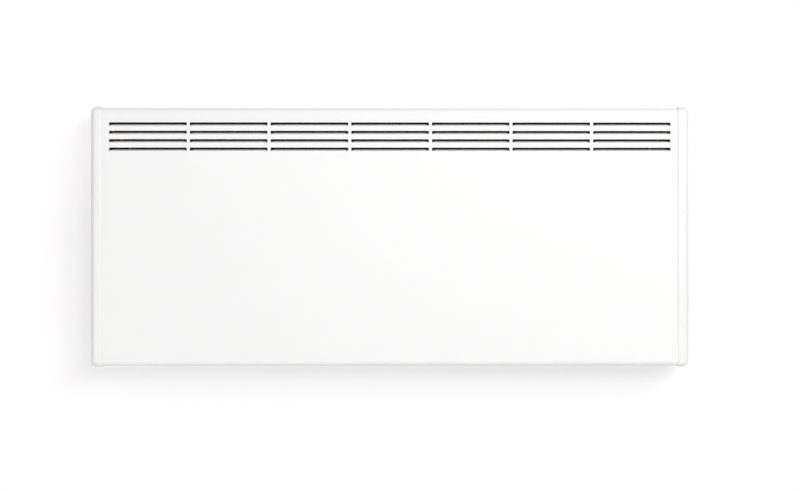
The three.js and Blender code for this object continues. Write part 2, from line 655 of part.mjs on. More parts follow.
function glandNut() {
  const start = BOX.y1 - BOX_WALL - GAP;
  return cut(hexBar('y', start - 3, start, 21), bar('y', start - 4, start + 1, 8 + GAP));
}

function overheatCutout() {
  const top = BOX.z1 - BOX_WALL - GAP;
  return joined(
    alongZ(rectangle(CUTOUT_X - 14, CUTOUT_X + 16, CUTOUT_Y - 10, CUTOUT_Y + 10, 2, 2), top - 20, top),
    bar('z', top - 1, BOX.z1 + 3, 2.5, [CUTOUT_X, CUTOUT_Y], 12));
}

function sensorClip() {
  const top = BOX.z0 - GAP;
  return cut(block(356, 364, BULB_Y - 4.8, BULB_Y + 4.8, BULB_Z - 5, top),
    bar('x', 350, 370, 3 + GAP, [BULB_Y, BULB_Z], 12));
}

function addControlBox(parent) {
  place(parent, 'control_box', controlBox(), DARK_PLASTIC);
  place(parent, 'terminal_block', terminalBlock(), CERAMIC);
  place(parent, 'cable_gland', cableGland(), DARK_PLASTIC, [GLAND[0], 0, GLAND[1]]);
  place(parent, 'gland_nut', glandNut(), DARK_PLASTIC, [GLAND[0], 0, GLAND[1]]);
  place(parent, 'overheat_cutout', overheatCutout(), DARK_PLASTIC);
  place(parent, 'air_sensor', bar('x', 345, 380, 3, [BULB_Y, BULB_Z], 12), COPPER);
  place(parent, 'sensor_clip', sensorClip(), GREY_PLASTIC);
  place(parent, 'sensor_tube', tube([
    [392, BULB_Y, KNOB_Z - 19 - GAP], [392, BULB_Y, BULB_Z], [380 + GAP, BULB_Y, BULB_Z],
  ], CAPILLARY_RADIUS, 5), COPPER);
}

// ---- Overheat limiter's capillary tube, behind the louvres ----

const CAPILLARY_Y = -71;
const CAPILLARY_X = 400.4; // upright run beside the right end plate
const CAPILLARY_TOP = 156;
const CAPILLARY_RUN = 112; // height of the long level run, hidden below the louvres
const CLIP_HEIGHT = 98; // of the clips on the end plates

function capillaryTube() {
  const slope = CAPILLARY_TOP - CAPILLARY_RUN;
  return tube([
    [CUTOUT_X, CUTOUT_Y, BOX.z1 + 3 + GAP], [CUTOUT_X, CUTOUT_Y, -14], [CAPILLARY_X, CUTOUT_Y, 6],
    [CAPILLARY_X, CAPILLARY_Y, 60], [CAPILLARY_X, CAPILLARY_Y, CAPILLARY_TOP],
    [CAPILLARY_X - slope, CAPILLARY_Y, CAPILLARY_RUN],
    [-CAPILLARY_X + slope, CAPILLARY_Y, CAPILLARY_RUN],
    [-CAPILLARY_X, CAPILLARY_Y, CAPILLARY_TOP], [-CAPILLARY_X, CAPILLARY_Y, CLIP_HEIGHT - 8],
  ], CAPILLARY_RADIUS, 5);
}

// A clip on the front panel's inner face, around the level run.
function tubeClip() {
  const inner = PANEL_FRONT + SHEET + GAP;
  const tongue = alongX(folded([
    [inner + 0.4, CAPILLARY_RUN - 14], [inner + 0.4, CAPILLARY_RUN - 4], [CAPILLARY_Y + 3.5, CAPILLARY_RUN - 4],
  ], 0.8, 1, 2), -5, 5);
  const grip = block(-2, 2, CAPILLARY_Y - 2.5, CAPILLARY_Y + 2.5, CAPILLARY_RUN - 4, CAPILLARY_RUN + 2.5);
  return cut(joined(tongue, grip),
    bar('x', -6, 6, CAPILLARY_RADIUS + GAP, [CAPILLARY_Y, CAPILLARY_RUN], 8));
}

// A clip on the right end plate, around the tube's upright run and centred on it.
function cornerClip() {
  const side = PLATE_X - GAP - CAPILLARY_X;
  return cut(block(-2.2, side, -2.4, 2.4, -2, 2), bar('z', -3, 3, CAPILLARY_RADIUS + GAP, [0, 0], 8));
}

function addCapillary(parent) {
  place(parent, 'capillary_tube', capillaryTube(), COPPER);
  [-240, 0, 240].forEach((x, i) => place(parent, `tube_clip_${i + 1}`, tubeClip(), ZINC, [x, 0, 0]));
  place(parent, 'corner_clip_left', mirrored(cornerClip()), ZINC, [-CAPILLARY_X, CAPILLARY_Y, CLIP_HEIGHT]);
  place(parent, 'corner_clip_right', cornerClip(), ZINC, [CAPILLARY_X, CAPILLARY_Y, CLIP_HEIGHT]);
}

// ---- Heating element ----

// Four fins on a round core: outline as (y, z) about the rod's axis.
function elementProfile() {
  const core = circle(7.5, [0, 0], 20);
  const parts = [alongX(core, ELEMENT_LEFT, ELEMENT_RIGHT)];
  for (const [across, up] of [[1, 1], [1, -1], [-1, 1], [-1, -1]]) {
    const fin = folded([[0, 0], [6 * across, 12 * up], [16 * across, 20 * up], [16 * across, 36 * up]], 1.8, 3, 2);
    const outline = THREE.ShapeUtils.isClockWise(fin) ? fin.slice().reverse() : fin;
    parts.push(alongX(outline, ELEMENT_LEFT, ELEMENT_RIGHT));
  }
  return cut(joined(...parts), bar('x', ELEMENT_LEFT - 1, ELEMENT_RIGHT + 1, 4 + GAP));
}

const ROD_RADIUS = 4;
const ROD_REACH = 28; // rod beyond the profile at each end
const BRACKET_REACH = 12; // sheet bracket beyond the profile
const SHIELD_FRONT = -31;
const SHIELD_SHEET = 0.8;

function heatShield() {
  const [front, back] = [SHIELD_FRONT + SHIELD_SHEET / 2, LIP_BACK - SHIELD_SHEET / 2];
  const section = folded([
    [back, 70], [back, 60], [front, 54], [front, -124], [back, -130], [back, -142],
  ], SHIELD_SHEET, 1.5, 2);
  return alongX(section, ELEMENT_LEFT - 30, ELEMENT_RIGHT + 30);
}

// Carries one end of the rod: the web stands across the rod, the foot lies on the heat shield.
function elementBracket() {
  const foot = SHIELD_FRONT - GAP - ELEMENT_Y;
  const web = alongX(rounded([[foot, -30], [foot, 30], [-12, 12], [-12, -12]], [0, 0, 6, 6], 3), 0, 1.2);
  return cut(joined(web, block(0, 16, foot - 1.2, foot, -30, 30)),
    bar('x', -1, 2, 7 + GAP));
}

function rodBushing() {
  const profile = [[4 + GAP, -6], [7, -6], [7, 1.5], [9.5, 1.5], [9.5, 5], [7, 7.5], [4 + GAP, 7.5], [4 + GAP, -6]]
    .map(([radius, height]) => new THREE.Vector2(radius, height));
  return new THREE.LatheGeometry(profile, 16).rotateZ(-Math.PI / 2);
}

function rodTerminal() {
  return joined(bar('x', GAP, 14, 2, [0, 0], 10), hexBar('x', 4, 8, 7, [0, 0]));
}

function addElement(parent) {
  const element = new THREE.Group();
  element.position.set(0, ELEMENT_Y, ELEMENT_Z);
  parent.add(element);
  place(parent, 'heat_shield', heatShield(), ALUMINIUM);
  place(element, 'heating_profile', elementProfile(), ALUMINIUM);
  place(element, 'heating_rod',
    bar('x', ELEMENT_LEFT - ROD_REACH, ELEMENT_RIGHT + ROD_REACH, ROD_RADIUS), STEEL);
  const ends = [['left', ELEMENT_LEFT, -1], ['right', ELEMENT_RIGHT, 1]];
  for (const [name, edge, side] of ends) {
    const facing = (geometry) => (side < 0 ? mirrored(geometry) : geometry);
    const spot = (reach) => [edge + side * reach, 0, 0];
    place(element, `element_bracket_${name}`, facing(elementBracket()), ZINC, spot(BRACKET_REACH));
    place(element, `rod_bushing_${name}`, facing(rodBushing()), CERAMIC, spot(BRACKET_REACH));
    place(element, `rod_terminal_${name}`, facing(rodTerminal()), BRASS, spot(ROD_REACH));
  }
}

// ---- Internal leads and earth ----

const EARTH_STUD = [330, -95]; // x and z on the back panel
const HEX_HALF = 3.5; // half across flats of the small nuts

function addWiring(parent) {
  const below = ELEMENT_Z - HEX_HALF - 0.6 - GAP;
  const leftEnd = ELEMENT_LEFT - ROD_REACH - 6;
  const rightEnd = ELEMENT_RIGHT + ROD_REACH + 6;
  const blockFront = BOX.y1 - BOX_WALL - 2 * GAP - 15.7;
  const switchBack = ROCKER_X - 11.5 - GAP;
  const cutoutBottom = BOX.z1 - BOX_WALL - 20 - 2 * GAP;
  const leads = {
    lead_to_switch: [BROWN_LEAD, [
      [375, blockFront, -113], [375, -54, -113], [385, RECESS_Y, -121], [switchBack, RECESS_Y, -121]]],
    lead_switch_to_thermostat: [BROWN_LEAD, [
      [switchBack, RECESS_Y, -129], [387, RECESS_Y, -129], [387, -64, -112], [387, -64, KNOB_Z - 19 - GAP]]],
    lead_thermostat_to_cutout: [BROWN_LEAD, [
      [RECESS_FLOOR - 26 - GAP, -60, -70], [370, -60, -70], [370, -60, cutoutBottom]]],
    lead_to_element: [BROWN_LEAD, [
      [356, CUTOUT_Y, cutoutBottom], [356, CUTOUT_Y, -72], [rightEnd, ELEMENT_Y, -72],
      [rightEnd, ELEMENT_Y, below]]],
    lead_return: [BLUE_LEAD, [
      [355, -40, -128 - GAP], [355, -40, -135], [332, -40, -135], [318, -26, -152], [leftEnd, -26, -152],
      [leftEnd, ELEMENT_Y, -100], [leftEnd, ELEMENT_Y, below]]],
    lead_earth: [EARTH_LEAD, [
      [350 - GAP, -38, -118], [334, -38, -118], [EARTH_STUD[0], -29, -108],
      [EARTH_STUD[0], -29, EARTH_STUD[1] - HEX_HALF - 0.6 - GAP]]],
  };
  for (const [name, [finish, corners]] of Object.entries(leads)) {
    place(parent, name, tube(corners, LEAD_RADIUS), finish);
  }
  place(parent, 'earth_stud', joined(
    bar('y', -38, LIP_BACK, 2, EARTH_STUD, 10), bar('y', LIP_BACK - 1.5, LIP_BACK, 4, EARTH_STUD, 12)), BRASS);
  place(parent, 'earth_nut', cut(
    hexBar('y', -31, -27.5, 2 * HEX_HALF, EARTH_STUD), bar('y', -40, -20, 2 + GAP, EARTH_STUD, 10)), BRASS);
}

// ---- The heater ----

const heater = new THREE.Group();
addWallSide(heater);
addCasing(heater);
addControls(heater);
addControlBox(heater);
addCapillary(heater);
addElement(heater);
addWiring(heater);

export default heater;
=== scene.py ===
"""A wall panel convector heater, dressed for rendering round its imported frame. Metres, +Z up."""

import json
import math

import bmesh
import bpy
from mathutils import Matrix, Vector


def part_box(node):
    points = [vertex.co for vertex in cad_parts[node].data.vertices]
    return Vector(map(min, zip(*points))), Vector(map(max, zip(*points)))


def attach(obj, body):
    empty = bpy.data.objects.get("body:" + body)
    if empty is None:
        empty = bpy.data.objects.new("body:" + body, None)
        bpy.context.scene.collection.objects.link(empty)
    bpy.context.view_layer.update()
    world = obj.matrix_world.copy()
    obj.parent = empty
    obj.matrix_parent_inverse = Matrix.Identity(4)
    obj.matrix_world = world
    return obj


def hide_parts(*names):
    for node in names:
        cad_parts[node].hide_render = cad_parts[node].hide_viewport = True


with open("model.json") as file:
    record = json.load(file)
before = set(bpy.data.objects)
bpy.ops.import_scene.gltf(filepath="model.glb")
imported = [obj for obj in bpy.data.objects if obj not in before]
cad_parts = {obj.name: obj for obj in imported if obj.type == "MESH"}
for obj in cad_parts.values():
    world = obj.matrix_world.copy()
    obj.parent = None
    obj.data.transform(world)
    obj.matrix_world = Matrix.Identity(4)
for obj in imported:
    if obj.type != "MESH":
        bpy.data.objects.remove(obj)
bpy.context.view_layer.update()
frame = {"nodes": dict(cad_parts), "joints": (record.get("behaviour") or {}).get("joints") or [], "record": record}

MM = 0.001
QUARTER = math.pi / 2

# ---- Driving sizes, as on the real heater ----

GAP = 0.3 * MM  # between two pieces that touch
SHEET = 1.0 * MM  # casing steel

FRONT_FOLD = 7 * MM  # outer radii of the front panel's folds
BACK_FOLD = 4 * MM
PANEL_LIP = 12.8 * MM  # height of the lip at the back of its top
PANEL_LIP_STOP = 14 * MM  # from the lip's ends to the panel's
PANEL_FLANGE = 22 * MM  # reach of its bottom flange behind its face
TAB_HALF = 6 * MM

LOUVRE_ROWS = 4
LOUVRE_COLUMNS = 7
ROW_PITCH = 11.9 * MM
COLUMN_PITCH = 114.5 * MM
LOUVRE_LENGTH = 110 * MM
LOUVRE_HEIGHT = 5.7 * MM
LOUVRE_DROP = 20.5 * MM  # panel top to the first opening
BLADE_TILT = math.radians(66)
BLADE_BEND = 1.9 * MM
BLADE_CORNER = 5 * MM  # how far a blade's end is drawn in at its tip
BLADE_STRAIGHT = 0.9 * MM  # length over which it isn't drawn in yet

CAP_WIDTH = 16 * MM
CAP_FILLET = 9 * MM
CAP_SLOPE = 2.6 * MM  # width of the soft edge that runs down to the panel
CAP_WALL = 2 * MM
CAP_LIP = 1.65 * MM  # thickness where a cap covers the panel
CAP_LIP_REACH = 7.3 * MM
CAP_TOP_EXTRA = 0.4 * MM  # the panel's top lies that much deeper below the cap than its bottom

BEZEL_FLOOR = 4.7 * MM  # back of the bezel to the floor of the recess
BEZEL_WALL = 1.5 * MM
TICK_COUNT = 19
TICK_STEP = 15  # degrees
FIRST_TICK = 225  # degrees from +Y about +X
LONG_TICK = 3  # every third tick is a long one with a number
NUMBER_RADIUS = 19.1 * MM
ROCKER_HALF = 7.2  # millimetres, as all of the rocker's outline
ROCKER_FACE = 5.15  # pivot to the middle of the dished face
ROCKER_DISH = 1.05  # depth of the dish at the rocker's ends
ROCKER_BORE = 1.3

INLET_COLUMNS = 10
INLET_PITCH = 76 * MM
HOOK_SLOT = 27.3 * MM  # height of the slots that the bracket's hooks go through
BRACKET_SHEET = 1.5 * MM
BRACKET_FOLD = 1.6 * MM
UPRIGHT_WIDTH = 30 * MM
WALL_HOLE = 3.25 * MM  # radius of the wall screws' holes

# ---- The photograph's camera and light ----

LAMPS = [  # name, place, size and power
    ("key", (1.5, -2.4, 1.0), 1.7, 33),
    ("front", (0.55, -2.9, 0.5), 0.6, 12),
    ("fill", (-1.6, -1.8, -0.75), 0.9, 8.5),
]
LAMP_AIM = (0, -0.08, 0)
ROOM_LIGHT = 0.38
SKY_LIGHT = 0.2  # added towards the zenith
WALL_GLOW = 0.43  # share of the wall's white that shadows don't touch
WALL_GLOW_RISE = 0.9  # added to it per metre above the heater's middle: painted light that lifts the shade above the heater
WALL_GLOW_STRENGTH = 1.17
FLOOR_LEVEL = -1.2
IMAGE_WIDTH = 800
FOCAL_PIXELS = 2195.3
SENSOR_WIDTH = 36
CAMERA_PLACE = Vector((-14.7, -3200, -12.4)) * MM
CAMERA_YAW = math.radians(0.529)


def add_camera():
    data = bpy.data.cameras.new("camera")
    data.sensor_width = SENSOR_WIDTH
    data.lens = FOCAL_PIXELS * SENSOR_WIDTH / IMAGE_WIDTH
    data.clip_end = 50
    camera = bpy.data.objects.new("camera", data)
    camera.location = CAMERA_PLACE
    camera.rotation_euler = (QUARTER, 0, -CAMERA_YAW)
    bpy.context.scene.collection.objects.link(camera)
    bpy.context.scene.camera = camera


# ---- Finishes ----


class Socket:
    """An output socket that takes part in sums. Each sum adds one Math node."""

    def __init__(self, finish, link):
        self.finish = finish
        self.link = link

    def __add__(self, other):
        return self.finish.sum("ADD", self, other)

    def __radd__(self, other):
        return self.finish.sum("ADD", other, self)

    def __rsub__(self, other):
        return self.finish.sum("SUBTRACT", other, self)

    def __mul__(self, other):
        return self.finish.sum("MULTIPLY", self, other)

    def __rmul__(self, other):
        return self.finish.sum("MULTIPLY", other, self)


class Finish:
    """A procedural material, or the world's shader. Every node in it is made by one method."""

    def __init__(self, name, kind="materials"):
        self.material = getattr(bpy.data, kind).new(name)
        self.material.use_nodes = True
        self.output_kind = "OutputWorld" if kind == "worlds" else "OutputMaterial"
        self.tree = self.material.node_tree
        self.tree.nodes.clear()

    def node(self, kind, settings=None, inputs=None, output=0):
        """Adds one node: its settings first, with a ramp's stops, then its sockets' values or links."""
        made = self.tree.nodes.new("ShaderNode" + kind)
        for name, value in (settings or {}).items():
            if name == "stops":
                self.set_stops(made.color_ramp, value)
            elif name == "steps":
                made.color_ramp.interpolation = value
            else:
                setattr(made, name, value)
        for name, value in (inputs or {}).items():
            if isinstance(value, Socket):
                self.tree.links.new(value.link, made.inputs[name])
            else:
                made.inputs[name].default_value = value
        return None if output is None else Socket(self, made.outputs[output])

    def sum(self, operation, first, second):
        return self.node("Math", {"operation": operation}, {0: first, 1: second})

    @staticmethod
    def set_stops(ramp, stops):
        for index, (position, value) in enumerate(stops):
            stop = ramp.elements[index] if index < 2 else ramp.elements.new(position)
            stop.position = position
            stop.color = (value, value, value, 1)

    def seen(self):
        """1 for a ray from the camera, or off metal or through glass, and 0 for one that only lights."""
        camera, glossy, through = (
            self.node("LightPath", output=f"Is {kind} Ray") for kind in ("Camera", "Glossy", "Transmission"))
        return self.sum("MAXIMUM", camera, self.sum("MAXIMUM", glossy, through))

    def place(self, stretch=(1, 1, 1)):
        """The object's own coordinates, stretched along its axes."""
        spot = self.node("TexCoord", output="Object")
        if stretch == (1, 1, 1):
            return spot
        return self.node("VectorMath", {"operation": "MULTIPLY"}, {0: spot, 1: stretch})

    def noise(self, scale, detail=2.0, roughness=0.5, stretch=(1, 1, 1)):
        inputs = {"Vector": self.place(stretch), "Scale": scale, "Detail": detail, "Roughness": roughness}
        return self.node("TexNoise", None, inputs, "Fac")

    def between(self, factor, low, high):
        """A colour that runs from low to high as the factor runs from 0 to 1."""
        inputs = {"Factor": factor, 6: (*low, 1), 7: (*high, 1)}
        return self.node("Mix", {"data_type": "RGBA"}, inputs, 2)

    def bump(self, height, depth, strength=1.0, under=None):
        """Relief of this depth, in metres, on top of the relief under it."""
        inputs = {"Height": height, "Distance": depth, "Strength": strength}
        if under:
            inputs["Normal"] = under
        return self.node("Bump", None, inputs)

    def surface(self, **sockets):
        """Ends the material in a Principled shader with these sockets."""
        names = {
            "color": "Base Color",
            "rough": "Roughness",
            "metal": "Metallic",
            "normal": "Normal",
            "coat": "Coat Weight",
            "coat_rough": "Coat Roughness",
            "specular": "Specular IOR Level",
        }
        inputs = {names[key]: value for key, value in sockets.items()}
        return self.end(self.node("BsdfPrincipled", None, inputs))

    def end(self, shader):
        self.node(self.output_kind, None, {"Surface": shader}, None)
        return self.material


def painted_sheet():
    """White powder coat: fine orange peel, with a faint drift of tone across the panel."""
    finish = Finish("white_powder_coat")
    drift = finish.noise(3.2, 2.0)
    peel = finish.noise(620, 2.0, 0.45)
    grain = finish.noise(2600, 1.0)
    color = finish.between(drift, (0.888, 0.885, 0.882), (0.908, 0.905, 0.902))
    rough = 0.40 + 0.06 * finish.noise(55, 2.0) + 0.05 * grain
    fine = finish.bump(grain, 0.000004, 0.6)
    normal = finish.bump(peel, 0.000022, 0.55, fine)
    return finish.surface(color=color, rough=rough, normal=normal, specular=0.5)


def moulded_plastic(name, low, high, rough, texture):
    """Injection-moulded plastic with a fine spark-eroded texture."""
    finish = Finish(name)
    spark = finish.noise(2300, 3.0, 0.6)
    drift = finish.noise(14, 2.0)
    color = finish.between(drift, low, high)
    variation = rough - 0.04 + 0.08 * spark
    return finish.surface(color=color, rough=variation, normal=finish.bump(spark, 0.000016, texture))


def galvanised_sheet():
    """Zinc-coated steel: crystal spangles that differ in tone and gloss."""
    finish = Finish("galvanised_steel")
    cells = finish.node("TexVoronoi", {"feature": "F1"}, {"Vector": finish.place(), "Scale": 150}, "Color")
    spangle = finish.node("SeparateColor", None, {0: cells}, 0)
    streak = finish.noise(240, 3.0, 0.6, (1, 1, 0.08))
    tone = spangle * 0.5 + 0.5 * finish.noise(38, 4.0)
    color = finish.between(tone, (0.58, 0.595, 0.605), (0.71, 0.72, 0.725))
    rough = 0.36 + 0.1 * spangle + 0.08 * streak
    return finish.surface(color=color, metal=0.92, rough=rough, normal=finish.bump(streak, 0.00001, 0.35))


def drawn_metal(name, low, high, rough, stretch=(0.06, 1, 1)):
    """Metal with fine lines from rolling, drawing or extruding, along the axis with the small factor."""
    finish = Finish(name)
    lines = finish.noise(900, 3.0, 0.55, stretch)
    patches = finish.noise(30, 3.0)
    color = finish.between(0.6 * lines + 0.4 * patches, low, high)
    spread = rough - 0.06 + 0.16 * lines
    return finish.surface(color=color, metal=1.0, rough=spread, normal=finish.bump(lines, 0.00001, 0.5))


def unglazed_ceramic():
    finish = Finish("steatite")
    grain = finish.noise(1500, 4.0, 0.6)
    color = finish.between(grain, (0.70, 0.67, 0.59), (0.83, 0.80, 0.73))
    return finish.surface(color=color, rough=0.62 + 0.1 * grain, normal=finish.bump(grain, 0.00003, 0.5))


def moulded_rubber():
    finish = Finish("black_rubber")
    grain = finish.noise(900, 4.0, 0.6)
    color = finish.between(grain, (0.018, 0.018, 0.019), (0.045, 0.045, 0.046))
    return finish.surface(color=color, rough=0.74 + 0.14 * grain, normal=finish.bump(grain, 0.00004, 0.5))


def lamp_lens():
    """Clear red lens with fine rings inside, round its own middle."""
    finish = Finish("red_lens")
    middle = (0, *middle_yz("indicator_lamp"))
    spot = finish.node("VectorMath", {"operation": "SUBTRACT"}, {0: finish.place(), 1: middle})
    facets = finish.node(
        "TexWave", {"wave_type": "RINGS", "rings_direction": "X"},
        {"Vector": spot, "Scale": 260, "Distortion": 0.0}, "Fac")
    color = finish.between(facets, (0.36, 0.018, 0.010), (0.62, 0.055, 0.030))
    return finish.surface(color=color, rough=0.10 + 0.05 * finish.noise(400), coat=0.6, coat_rough=0.05)


def insulated_wire(name, low, high):
    finish = Finish(name)
    grain = finish.noise(700, 3.0, 0.6)
    color = finish.between(grain, low, high)
    return finish.surface(color=color, rough=0.42 + 0.12 * grain, normal=finish.bump(grain, 0.00002, 0.4))


def striped_wire():
    """Green and yellow stripes wound along the wire."""
    finish = Finish("earth_wire")
    wave = finish.node(
        "TexWave", {"wave_type": "BANDS", "bands_direction": "DIAGONAL", "wave_profile": "SAW"},
        {"Vector": finish.place(), "Scale": 90, "Distortion": 0.0}, "Fac")
    stripe = finish.node("ValToRGB", {"stops": [(0.0, 0.0), (0.62, 1.0)], "steps": "CONSTANT"}, {0: wave})
    color = finish.between(stripe, (0.08, 0.32, 0.05), (0.78, 0.62, 0.04))
    return finish.surface(color=color, rough=0.44 + 0.1 * finish.noise(700))


def flat_coat(name, low, high):
    """A thin matt coat, slightly uneven: printed ink, and the black painted shade inside the back sheet that
    darkens the louvre slits.
    """
    finish = Finish(name)
    grain = finish.noise(1800, 3.0, 0.6)
    return finish.surface(color=finish.between(grain, low, high), rough=0.5 + 0.12 * grain)


def make_finishes():
    """Every material by its slot's name in the record, with two more for the scene's own pieces."""
    return {
        "white_paint": painted_sheet(),
        "white_plastic": moulded_plastic(
            "white_plastic", (0.887, 0.884, 0.880), (0.907, 0.904, 0.900), 0.40, 0.35),
        "grey_plastic": moulded_plastic(
            "grey_plastic", (0.60, 0.61, 0.62), (0.66, 0.67, 0.68), 0.46, 0.6),
        "dark_plastic": moulded_plastic(
            "dark_plastic", (0.022, 0.022, 0.024), (0.036, 0.036, 0.038), 0.44, 0.7),
        "zinc": galvanised_sheet(),
        "aluminium": drawn_metal("mill_aluminium", (0.62, 0.63, 0.645), (0.80, 0.805, 0.81), 0.38),
        "steel": drawn_metal("bright_steel", (0.42, 0.43, 0.44), (0.60, 0.605, 0.61), 0.30),
        "brass": drawn_metal("turned_brass", (0.58, 0.42, 0.16), (0.78, 0.62, 0.30), 0.30),
        "copper": drawn_metal("drawn_copper", (0.60, 0.30, 0.18), (0.85, 0.52, 0.36), 0.30, (0.1, 1, 0.1)),
        "ceramic": unglazed_ceramic(),
        "rubber": moulded_rubber(),
        "lamp": lamp_lens(),
        "brown_lead": insulated_wire("brown_wire", (0.11, 0.045, 0.02), (0.17, 0.075, 0.035)),
        "blue_lead": insulated_wire("blue_wire", (0.02, 0.09, 0.32), (0.04, 0.14, 0.45)),
        "earth_lead": striped_wire(),
        "ink": flat_coat("grey_ink", (0.05, 0.05, 0.055), (0.09, 0.09, 0.095)),
        # painted shade: black for the inside of the back sheet, seen through the louvres
        "inner_coat": flat_coat("heat_proof_black", (0.028, 0.028, 0.030), (0.05, 0.05, 0.052)),
    }


# ---- Mesh helpers ----


def middle_yz(node):
    low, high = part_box(node)
    return (low.y + high.y) / 2, (low.z + high.z) / 2


def link(name, mesh, finish, body, *nodes):
    """Puts a mesh in the scene as one piece, riding on a body and standing for CAD nodes."""
    piece = bpy.data.objects.new(name, mesh)
    bpy.context.scene.collection.objects.link(piece)
    piece.data.materials.clear()
    piece.data.materials.append(finish)
    if body:
        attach(piece, body)
    if nodes:
        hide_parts(*nodes)
    return piece


def mesh_from(name, corners, faces):
    mesh = bpy.data.meshes.new(name)
    mesh.from_pydata([tuple(corner) for corner in corners], [], faces)
    mesh.validate()
    shell = bmesh.new()
    shell.from_mesh(mesh)
    bmesh.ops.recalc_face_normals(shell, faces=shell.faces)
    shell.to_mesh(mesh)
    shell.free()
    return mesh


def with_modifiers(mesh, *modifiers):
    """The mesh with modifiers applied: each is its type and its settings."""
    carrier = bpy.data.objects.new("carrier", mesh)
    bpy.context.scene.collection.objects.link(carrier)
    for kind, settings in modifiers:
        modifier = carrier.modifiers.new(kind, kind)
        for name, value in settings.items():
            setattr(modifier, name, value)
    result = evaluated(carrier)
    result.name = mesh.name
    bpy.data.objects.remove(carrier)
    return result


def evaluated(carrier):
    depsgraph = bpy.context.evaluated_depsgraph_get()
    return bpy.data.meshes.new_from_object(carrier.evaluated_get(depsgraph))


def soft_edges(mesh, width, segments=2, angle=40):
    """Rounds every edge sharper than the angle, then shades smoothly across the gentler ones."""
    bevel = {
        "width": width,
        "segments": segments,
        "limit_method": "ANGLE",
        "angle_limit": math.radians(angle),
        "use_clamp_overlap": True,
        "harden_normals": False,
    }
    return shaded(with_modifiers(mesh, ("BEVEL", bevel)))


def shaded(mesh, angle=35):
    mesh.shade_smooth()
    mesh.set_sharp_from_angle(angle=math.radians(angle))
    return mesh


def combined(mesh, other, operation):
    """Joins, cuts or intersects two closed meshes."""
    tool = bpy.data.objects.new("tool", other)
    bpy.context.scene.collection.objects.link(tool)
    result = with_modifiers(mesh, ("BOOLEAN", {"operation": operation, "solver": "EXACT", "object": tool}))
    bpy.data.objects.remove(tool)
    return result


def cut(mesh, *tools):
    for tool in tools:
        mesh = combined(mesh, tool, "DIFFERENCE")
    return mesh


def block(low, high):
    corners = [(x, y, z) for x in (low[0], high[0]) for y in (low[1], high[1]) for z in (low[2], high[2])]
    faces = [(0, 1, 3, 2), (4, 6, 7, 5), (0, 4, 5, 1), (2, 3, 7, 6), (0, 2, 6, 4), (1, 5, 7, 3)]
    return mesh_from("block", corners, faces)


def loft(name, rings):
    """A closed body through rings of equal count, with a flat face at both ends."""
    count = len(rings[0])
    corners = [corner for ring in rings for corner in ring]
    faces = [tuple(range(count)), tuple(range(len(corners) - count, len(corners)))]
    for start in range(0, len(corners) - count, count):
        for i in range(count):
            j = (i + 1) % count
            faces.append((start + i, start + j, start + count + j, start + count + i))
    return mesh_from(name, corners, faces)


def rounded_rectangle(a0, a1, b0, b1, low_radius, high_radius, steps=8):
    """Its outline as (a, b) points, with one radius for the corners at a0 and one for those at a1."""
    low_radius, high_radius = (max(radius, 0.02 * MM) for radius in (low_radius, high_radius))
    spots = [
        (a0 + low_radius, b0 + low_radius, low_radius, 2),
        (a1 - high_radius, b0 + high_radius, high_radius, 3),
        (a1 - high_radius, b1 - high_radius, high_radius, 0),
        (a0 + low_radius, b1 - low_radius, low_radius, 1),
    ]
    points = []
    for a, b, radius, quarter in spots:
        for step in range(steps + 1):
            angle = (quarter + step / steps) * QUARTER
            points.append((a + radius * math.cos(angle), b + radius * math.sin(angle)))
    return points


def rounded_slot(a, b, half_a, half_b, radius, steps):
    """A rounded rectangle's outline round its middle, with one radius."""
    return rounded_rectangle(a - half_a, a + half_a, b - half_b, b + half_b, radius, radius, steps)


def turned(name, profile, segments=48):
    """A body turned about the X axis from (x, radius) points. Flat faces close its ends, unless the
    profile comes back to its start."""
    closed = profile[0] == profile[-1]
    if closed:
        profile = profile[:-1]
    corners = [(x, *spot) for x, radius in profile for spot in circle((0, 0), radius, segments)]
    count = len(profile)
    faces = []
    for k in range(count if closed else count - 1):
        here, there = k * segments, ((k + 1) % count) * segments
        for i in range(segments):
            j = (i + 1) % segments
            faces.append((here + i, here + j, there + j, there + i))
    if not closed:
        faces += [tuple(range(segments)), tuple(range(len(corners) - segments, len(corners)))]
    return mesh_from(name, corners, faces)


def cylinder(name, x0, x1, radius, middle, segments=32):
    """A round bar along X, whose axis passes through the middle, given as (y, z)."""
    mesh = turned(name, [(x0, radius), (x1, radius)], segments)
    return moved(mesh, Matrix.Translation((0, *middle)))


def moved(mesh, matrix):
    mesh.transform(matrix)
    return mesh


def together(name, *meshes):
    """Several meshes as the separate shells of one."""
    whole = bmesh.new()
    for mesh in meshes:
        whole.from_mesh(mesh)
    result = bpy.data.meshes.new(name)
    whole.to_mesh(result)
    whole.free()
    return result


def along(axis, place, point):
    """A point of an outline, set at a place on the axis that stands across it."""
    a, b = point
    return {"X": (place, a, b), "Y": (a, place, b), "Z": (a, b, place)}[axis]


def prism(name, outline, axis, start, end):
    return loft(name, [[along(axis, place, point) for point in outline] for place in (start, end)])


def circle(middle, radius, segments):
    return [(middle[0] + radius * math.cos(2 * math.pi * i / segments),
             middle[1] + radius * math.sin(2 * math.pi * i / segments)) for i in range(segments)]


def arc(centre, radius, start, end, steps):
    """Points of an arc, angles in degrees."""
    return [(centre[0] + radius * math.cos(math.radians(start + (end - start) * i / steps)),
             centre[1] + radius * math.sin(math.radians(start + (end - start) * i / steps)))
            for i in range(steps + 1)]


def filleted(path, radius, steps=6):
    """An open path with its inner corners rounded."""
    points = [Vector(point) for point in path]
    line = [points[0]]
    for before, corner, after in zip(points, points[1:], points[2:]):
        back, on = (before - corner).normalized(), (after - corner).normalized()
        half = back.angle(on) / 2
        centre = corner + (back + on).normalized() * radius / math.sin(half)
        start = corner + back * radius / math.tan(half) - centre
        end = corner + on * radius / math.tan(half) - centre
        line += [centre + start.lerp(end, step / steps).normalized() * radius for step in range(steps + 1)]
    return line + [points[-1]]


